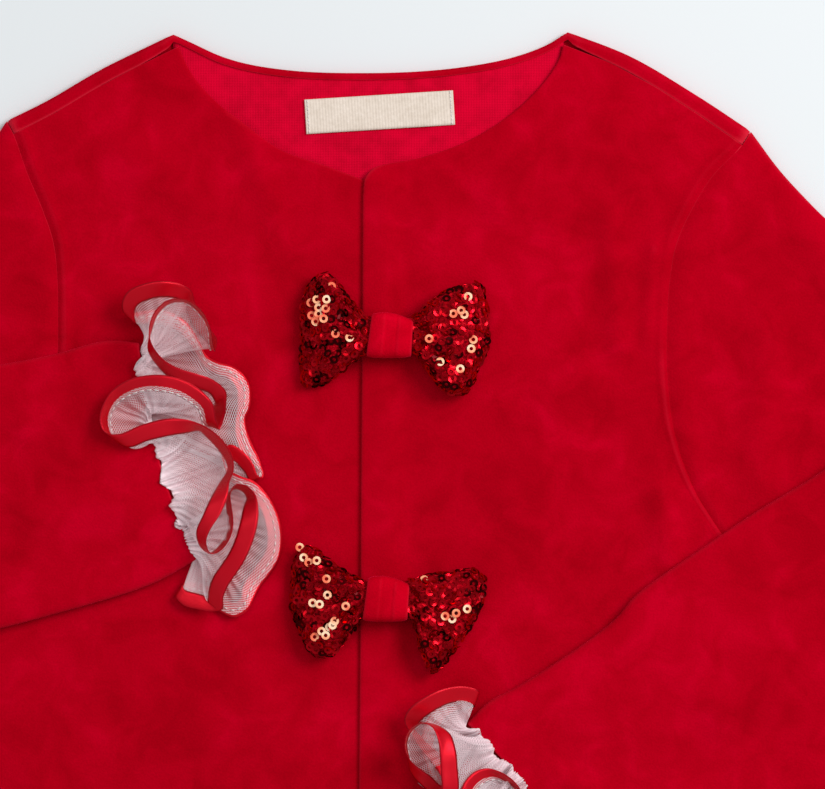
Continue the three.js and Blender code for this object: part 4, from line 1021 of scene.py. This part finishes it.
def traced(side, shape, table):
    """Stations with their pixels turned into places along the cuff and out from it."""
    top, along, away = cuff_frame(side, shape)[:3]
    rows = []
    for at, edge_x, edge_y, edge_up, inner_x, inner_y, inner_up in table:
        row = [at]
        for x, y, up in ((edge_x, edge_y, edge_up), (inner_x, inner_y, inner_up)):
            place = np.array([(x - PICTURE_ORIGIN[0]) * PIXEL, (PICTURE_ORIGIN[1] - y) * PIXEL]) - top
            row += [place @ along, place @ away, up]
        rows.append(row)
    return rows


def pressed(row):
    """A station of the right cuff as the left one has it."""
    if row[0] >= LEFT_JOINS:
        return row
    moved = list(row)
    for k in (1, 4):
        moved[k] += LEFT_SHIFT
        moved[k + 1] = LEFT_NEAR[1] + (row[k + 1] - LEFT_NEAR[0]) * LEFT_PRESS
    return moved


def even_ribbon(row):
    """A station whose inner edge is moved, heights first, so that the ribbon keeps its width."""
    edge, inner = np.array(row[1:4]), np.array(row[4:])
    way = inner - edge
    flat = np.hypot(way[0], way[1])
    drop = np.sqrt(max(0, RIBBON_WIDTH ** 2 - flat ** 2))
    if flat < FLAT_RIBBON and (abs(way[2]) > 0.9 * drop or drop < LEAST_DROP):
        inner[2] = edge[2] + (drop if way[2] > 0 else -drop)
    else:
        inner = edge + way * RIBBON_WIDTH / np.linalg.norm(way)
    return [row[0], *edge, *inner]


def narrow_ribbon(row):
    """A station whose ribbon is no wider than it is cut."""
    edge, inner = np.array(row[1:4]), np.array(row[4:])
    way = inner - edge
    return [row[0], *edge, *(edge + way * min(1, RIBBON_WIDTH / np.linalg.norm(way)))]


def ruffle_table(name):
    """Stations all round a ruffle: at, then both edges as along the cuff, out from the sleeve and up, to a
    tenth of a millimetre."""
    upper = traced(SIDES["right"], SLEEVES["right"], UPPER_LAYER)
    lower = traced(SIDES["right"], SLEEVES["right"], LOWER_LAYER)
    if name == "left":
        start = traced(SIDES["left"], SLEEVES["left"], LEFT_START)
        upper = start + [pressed(row) for row in upper if row[0] > start[-1][0]]
    table = np.array([even_ribbon(row) for row in upper] + [narrow_ribbon(row) for row in lower])
    table[:, 1:] = np.round(table[:, 1:], 1)
    return table


def ruffle_lines(side, shape, table, columns):
    """The gathered root of a ruffle and both edges of its ribbon, each as a row of points, with the ribbon's
    length, the way out of the sleeve, places along the cuff and which points are under it."""
    top, along, away, width = cuff_frame(side, shape)
    steps = 40
    dense = spline(table[:, 1:], closed=True, steps=steps)
    station = np.arange(len(dense) + 1) / steps
    at = np.interp(station, np.arange(len(table) + 1), [*table[:, 0], 2 + table[0, 0]])
    loop = np.vstack([dense, dense[:1]])
    run = run_of(loop[:, :3])
    places = np.arange(columns) / columns * run[-1]
    both = pick(run, loop, places)
    at = np.interp(places, run, at) % 2

    def in_plan(part):
        return np.column_stack([top + part[:, :1] * along + part[:, 1:2] * away, part[:, 2]])

    lower = at > 1
    q = np.where(lower, 2 - at, at)
    full = np.sqrt(np.maximum(0, 1 - np.abs(2 * q - 1) ** ROOT_POWER))
    inner, reach = VELOUR / 2, GAP + TULLE / 2
    plan = top + (inner + q * (width - 2 * inner))[:, None] * along
    plan = plan + (reach - 4 * CUFF_BOW * q * (1 - q))[:, None] * away
    level = FOREARM_LOW + SLEEVE_DEEP / 2 + np.where(lower, -1, 1) * (SLEEVE_DEEP - VELOUR) / 2 * full
    root = np.column_stack([plan, level])
    return root, in_plan(both[:, 3:]), in_plan(both[:, :3]), run[-1], np.append(away, 0), q, lower


def net_surface(root, inner, edge, away, lower, rows=28, over_rows=4):
    """Middle surface of the net: out of the root, clear of the sleeve, and up over the ribbon. Above, the
    ribbon stands out past the net; underneath it lies behind the net's edge."""
    reach = np.linalg.norm(inner - root, axis=1)[:, None]
    rise = np.column_stack([0 * reach, 0 * reach, 0.45 * (inner[:, 2] - root[:, 2])])
    first = root + np.minimum(3, 0.3 * reach) * away + rise
    second = inner - (edge - inner) * np.minimum(0.7, 0.05 * reach)
    t = np.linspace(0, 1, rows)[:, None, None]
    bend = (1 - t) ** 3 * root + 3 * t * (1 - t) ** 2 * first + 3 * t ** 2 * (1 - t) * second + t ** 3 * inner
    behind = smooth(0, 3, -(bend - root) @ away) * ~lower
    bend[..., 2] = np.maximum(bend[..., 2], mix(bend[..., 2], OVER_SLEEVE, behind))
    weight = smoothed(lower.astype(float)[:, None], 12)
    over = mix(NET_OVER, LOWER_NET_OVER, weight) * np.linspace(0, 1, over_rows + 1)[1:, None, None]
    return np.concatenate([bend, mix(inner, edge, over)])


def gathered(surface, away, q, lower, seed):
    """Fine pleats that run out of the gathered root, and the puffs of net that stand over the cuff's edge."""
    share = np.linspace(0, 1, len(surface))[:, None]
    edge = run_of(surface[-1])
    place = np.column_stack([edge, 0 * edge])
    phase = 2 * math.pi * edge / PLEAT_STEP + 4.2 * ripple(place, 11, seed)
    deep = 0.6 + 0.8 * ripple(place, 15, seed + 3)
    fade = smooth(0, 0.2, share) * np.clip(1 - share / 0.94, 0, 1) ** 0.8
    from_corner = np.minimum(q, 1 - q)
    corner = smooth(0.0, 0.03, from_corner)
    pleat = fade * corner * deep * np.sin(phase)
    root = run_of(surface[0])
    root_place = np.column_stack([root, 0 * root])
    puff = smooth(0, 0.07, share) * smooth(0.45, 0.1, share) * smooth(0.0, 0.05, from_corner) * ~lower
    lumps = 0.6 + 1.1 * ripple(root_place, 5.5, seed + 8) + 0.3 * ripple(root_place, 2.6, seed + 5)
    swell = puff * np.clip(lumps, 0, 1.4)
    moved = surface + grid_normals(surface, True) * (PLEAT_DEPTH * pleat)[..., None]
    moved = moved - (PUFF_BACK * swell)[..., None] * away
    moved[..., 2] += PUFF_UP * swell
    return moved


def ruffle(name, side, shape, table, seed):
    root, inner, edge, length, away, q, lower = ruffle_lines(side, shape, table, NET_COLUMNS)
    surface = net_surface(root, inner, edge, away, lower)
    net = gathered(surface, away, q, lower, seed)
    uv = np.empty((surface.shape[0], surface.shape[1] + 1, 2))
    uv[..., 0] = np.linspace(0, length, surface.shape[1] + 1)
    down = runs(surface, 0)
    uv[..., 1] = np.concatenate([down, down[:, :1]], axis=1)
    tulle = tube_mesh(f"tulle_{name}", net, MATERIALS["tulle"], uv)
    band = mix(inner, edge, np.linspace(0, 1, 7)[:, None, None])
    normal = -side["sign"] * grid_normals(band, True)
    satin = cloth(f"satin_{name}", band + normal * TULLE / 2, SATIN, MATERIALS["ribbon"],
                  [(0.25, 0.3), (0.25, 0.3), NO_ROUNDING, NO_ROUNDING], closed=True)
    line = mix(inner, edge, np.where(lower, 0.55, 0.12)[:, None])
    run = run_of(line)
    places = np.arange(0.5, run[-1], STITCH_STEP)
    at = pick(run, line, places)
    up = unit(pick(run, -normal[1], places))
    way = unit(pick(run, np.gradient(line, axis=0), places))
    points, faces = box_strip(at + up * 0.12, way, up, STITCH)
    stitches = mesh_object(f"ruffle_stitches_{name}", points, faces, None, MATERIALS["thread"])
    return tulle, satin, stitches, length, float(np.mean(down[-1]))


# Bows

def bow_rings(sections, steps=7, sides=72):
    """Rings of a bow's wings, pleated where the knot pinches them."""
    fine = spline(sections, steps=steps)
    angle = np.linspace(0, 2 * math.pi, sides, endpoint=False)
    c, s = np.cos(angle), np.sin(angle)
    across = squarer(c, 0.75)
    rings = []
    for at, top, bottom, low, high in fine:
        flare = smooth(6, 12, abs(at)) * smooth(34, 20, abs(at))
        pleat = np.where(s > 0, flare * 1.1 * np.cos(3 * math.pi * across) * s, 0)
        y = (top + bottom) / 2 + (top - bottom) / 2 * across
        z = (high + low) / 2 + (high - low) / 2 * squarer(s, 0.8) + pleat
        rings.append(np.column_stack([np.full(sides, at), y, z]))
    return np.stack(rings)


def bow_wings(name, bow):
    rings = bow_rings(bow["sections"]) + [*bow["middle"], 0]
    ends = [np.repeat(rings[k].mean(axis=0)[None, None], rings.shape[1], axis=1) for k in (0, -1)]
    closed_up = []
    for end, ring in zip(ends, (rings[:1], rings[-1:])):
        closed_up.append([mix(end, ring, part) for part in (0.02, 0.4, 0.75)])
    grid = np.concatenate([*closed_up[0], rings, *closed_up[1][::-1]])
    piece = cloth(f"{name}_cloth", grid, BOW_CLOTH, MATERIALS["ground"], [NO_ROUNDING] * 4, closed=True)
    return piece, rings


def ring_shape(cup, sides=12, outer=1.5, hole=0.66, thick=0.11):
    """One ring sequin: points and faces of a thin cupped washer."""
    angle = np.linspace(0, 2 * math.pi, sides, endpoint=False)
    rows = [(outer, cup + thick), (hole, thick), (hole, 0), (outer, cup)]
    points = np.concatenate([np.column_stack([r * np.cos(angle), r * np.sin(angle), np.full(sides, z)])
                             for r, z in rows])
    faces = []
    for row in range(4):
        for j in range(sides):
            k, after = (j + 1) % sides, (row + 1) % 4
            faces.append((row * sides + j, row * sides + k, after * sides + k, after * sides + j))
    return points, np.array(faces)


def placed_ring(shape, point, up, lift):
    side = unit(np.cross(up, [0.3, 1, 0.2]))
    return shape @ np.stack([side, np.cross(up, side), up]) + point + up * lift


def sequins(name, rings, seed, shade_spots, glint_rings):
    """Ring sequins over the wings, loosely sewn, so that each tilts its own way. The dark spots, as x, y and
    radius, give where they turn from the light and are coloured near black as painted shade, and the bright
    rings are the middles of those that catch it, coloured pale cream-orange as a painted glint."""
    random = np.random.default_rng(seed)
    normals = grid_normals(rings, True)
    middle = rings.reshape(-1, 3).mean(axis=0)
    if np.sum((rings - middle) * normals) < 0:
        normals = -normals
    spots, placed, tries = [], [], 0
    while len(placed) < SEQUINS and tries < SEQUIN_TRIES:
        tries += 1
        i = random.uniform(0, rings.shape[0] - 1.001)
        j = random.integers(0, rings.shape[1])
        k, part = int(i), i - int(i)
        point = mix(rings[k, j], rings[k + 1, j], part)
        normal = unit(mix(normals[k, j], normals[k + 1, j], part))
        if abs(point[0] - middle[0]) < KNOT["half"] + BARE_AT_KNOT:
            continue
        if placed and np.min(np.sum((np.array(placed) - point) ** 2, axis=1)) < SEQUIN_STEP ** 2:
            continue
        placed.append(point)
        spots.append((point, normal))
    groups = {"sequin": [], "sequin_painted_shade": [], "sequin_painted_glint": []}
    shape, block = ring_shape(RING_CUP)
    for point, normal in spots:
        # Sequins in a dark spot, and some at random, get the near-black foil: painted shade
        dark = any(math.hypot(point[0] - x, point[1] - y) < radius for x, y, radius in shade_spots)
        kind = "sequin_painted_shade" if dark or random.uniform() < PAINTED_SHADE_SHARE else "sequin"
        up = unit(normal + random.normal(0, RING_TILT, 3))
        groups[kind].append(placed_ring(shape, point, up, random.uniform(*RING_LIFTS)))
    # The glint rings lie flatter and face the light, and their pale foil paints the glint in
    flatter, towards_light = ring_shape(FLAT_RING_CUP)[0], unit(np.array([0.1, 0.06, 1]))
    for x, y in glint_rings:

        def distance(spot):
            return math.hypot(spot[0][0] - x, spot[0][1] - y) + UNDERSIDE * (spot[1][2] < 0)

        point = np.array([x, y, min(spots, key=distance)[0][2] + BRIGHT_RISE])
        groups["sequin_painted_glint"].append(placed_ring(flatter, point, towards_light, BRIGHT_LIFT))
    made = []
    for group, parts in groups.items():
        points = np.concatenate(parts)
        faces = (np.arange(len(parts))[:, None, None] * len(shape) + block).reshape(-1, 4)
        piece = mesh_object(f"{name}_{group}", points, faces, None, MATERIALS[group])
        piece.data.polygons.foreach_set("use_smooth", [False] * len(piece.data.polygons))
        made.append(piece)
    return made


def knot(name, bow):
    """A puffed band of velour round the middle of the bow, leaning a little and lower at its right end."""
    x, y = bow["middle"]
    angle = np.linspace(0, 2 * math.pi, 96, endpoint=False)
    c, s = np.cos(angle), np.sin(angle)
    rings = []
    ends = np.array([0.9, 0.95, 0.985, 1])
    for at in np.concatenate([-ends[::-1], np.linspace(-0.82, 0.82, 25), ends]):
        top = KNOT["across"] / 2 - VELOUR / 2 - 0.4 - KNOT_DROP * smooth(-0.3, 1.3, at) - 0.9 * abs(at) ** 5
        bottom = -KNOT["across"] / 2 + VELOUR / 2 + 0.3 + 0.7 * abs(at) ** 5
        round_y = (top + bottom) / 2 + (top - bottom) / 2 * squarer(c, 0.62)
        puff = KNOT["high"] - VELOUR / 2 - 1.5 * abs(at) ** 2.6 - 0.4 * (1 - at ** 2) * (abs(at) < 0.3)
        half_z = (puff - KNOT["low"] - VELOUR / 2) / 2
        z = KNOT["low"] + VELOUR / 2 + half_z * (1 + squarer(s, 0.55))
        lean = (0.6 - 0.3 * at) * 2 * (round_y - bottom) / (top - bottom) - 0.6
        rings.append(np.column_stack([x + at * KNOT["half"] + lean, y + round_y, z]))
    # Its velour is the lighter copy: painted light where the raised knot catches it
    return cloth(f"{name}_cloth", np.stack(rings), VELOUR, MATERIALS["knot_velour_painted_light"],
                 [CUT_EDGE, CUT_EDGE, NO_ROUNDING, NO_ROUNDING], closed=True)


def on_bow(middle, x, y):
    """A pixel's place in plan, to a tenth of a millimetre from the knot."""
    across = round((x - PICTURE_ORIGIN[0]) * PIXEL - middle[0], 1)
    up = round((PICTURE_ORIGIN[1] - y) * PIXEL - middle[1], 1)
    return middle[0] + across, middle[1] + up


# Putting it together

def declare(piece, nodes):
    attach(piece, BODY)
    if nodes:
        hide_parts(*nodes)


def dress():
    back_cloth = back()
    declare(back_cloth, ["back"])
    declare(lining(), ["back_lining"])
    tape, stitches = label()
    declare(stitches, [])
    declare(tape, ["neck_label"])
    for name, side in SIDES.items():
        declare(front(f"front_cloth_{name}", side), [f"front_{name}"])
    for k, (name, side) in enumerate(SIDES.items()):
        shape = SLEEVES[name]
        declare(sleeve(name, side, shape), [f"sleeve_{name}"])
        tulle, satin, stitches, length, deep = ruffle(name, side, shape, ruffle_table(name), 11.0 + 20 * k)
        declare(stitches, [])
        declare(satin, [f"ribbon_{name}"])
        declare(tulle, [f"ruffle_{name}"])


def dress_bows():
    for seed, (name, bow) in enumerate(BOWS.items()):
        wings, rings = bow_wings(f"{name}_wings", bow)
        dark = [(*on_bow(bow["middle"], x, y), radius) for x, y, radius in PAINTED_SHADE_SPOTS[name]]
        bright = [on_bow(bow["middle"], x, y) for x, y in PAINTED_GLINT_RINGS[name]]
        made = sequins(name, rings, 40 + seed, dark, bright)
        for piece in made:
            declare(piece, [])
        declare(wings, [f"{name}_wings"])
        declare(knot(f"{name}_knot", bow), [f"{name}_knot"])


def studio():
    """A pale floor, soft light from above, and a camera that looks straight down."""
    mesh = bpy.data.meshes.new("floor")
    corners = [(-1, -1), (1, -1), (1, 1), (-1, 1)]
    mesh.from_pydata([(x * FLOOR_HALF, y * FLOOR_HALF, FLOOR_LEVEL) for x, y in corners], [], [(0, 1, 2, 3)])
    mesh.materials.append(FLOOR_LOOK)
    floor = bpy.data.objects.new("floor", mesh)
    bpy.context.scene.collection.objects.link(floor)
    world = bpy.data.worlds.new("studio")
    world.use_nodes = True
    sky = world.node_tree.nodes["Background"].inputs
    sky["Color"].default_value = (0.97, 0.985, 1, 1)
    sky["Strength"].default_value = SKY_LIGHT
    bpy.context.scene.world = world
    for name, place, size, power in LAMPS:
        light = bpy.data.lights.new(name, "AREA")
        light.shape, light.size, light.energy = "DISK", size, power
        lamp = bpy.data.objects.new(name, light)
        lamp.location = place
        lamp.rotation_euler = (Vector(LIT_POINT) - lamp.location).to_track_quat("-Z", "Y").to_euler()
        bpy.context.scene.collection.objects.link(lamp)
    camera = bpy.data.cameras.new("camera")
    camera.sensor_width = 36
    camera.lens = camera.sensor_width * CAMERA_DISTANCE / SEEN_WIDTH
    camera.clip_end = 20
    seat = bpy.data.objects.new("camera", camera)
    seat.location = (*CAMERA_OVER, CAMERA_DISTANCE + FRONT_TOP * MM)
    bpy.context.scene.collection.objects.link(seat)
    bpy.context.scene.camera = seat
    bpy.context.scene.view_settings.view_transform = "Standard"


studio()
dress()
dress_bows()
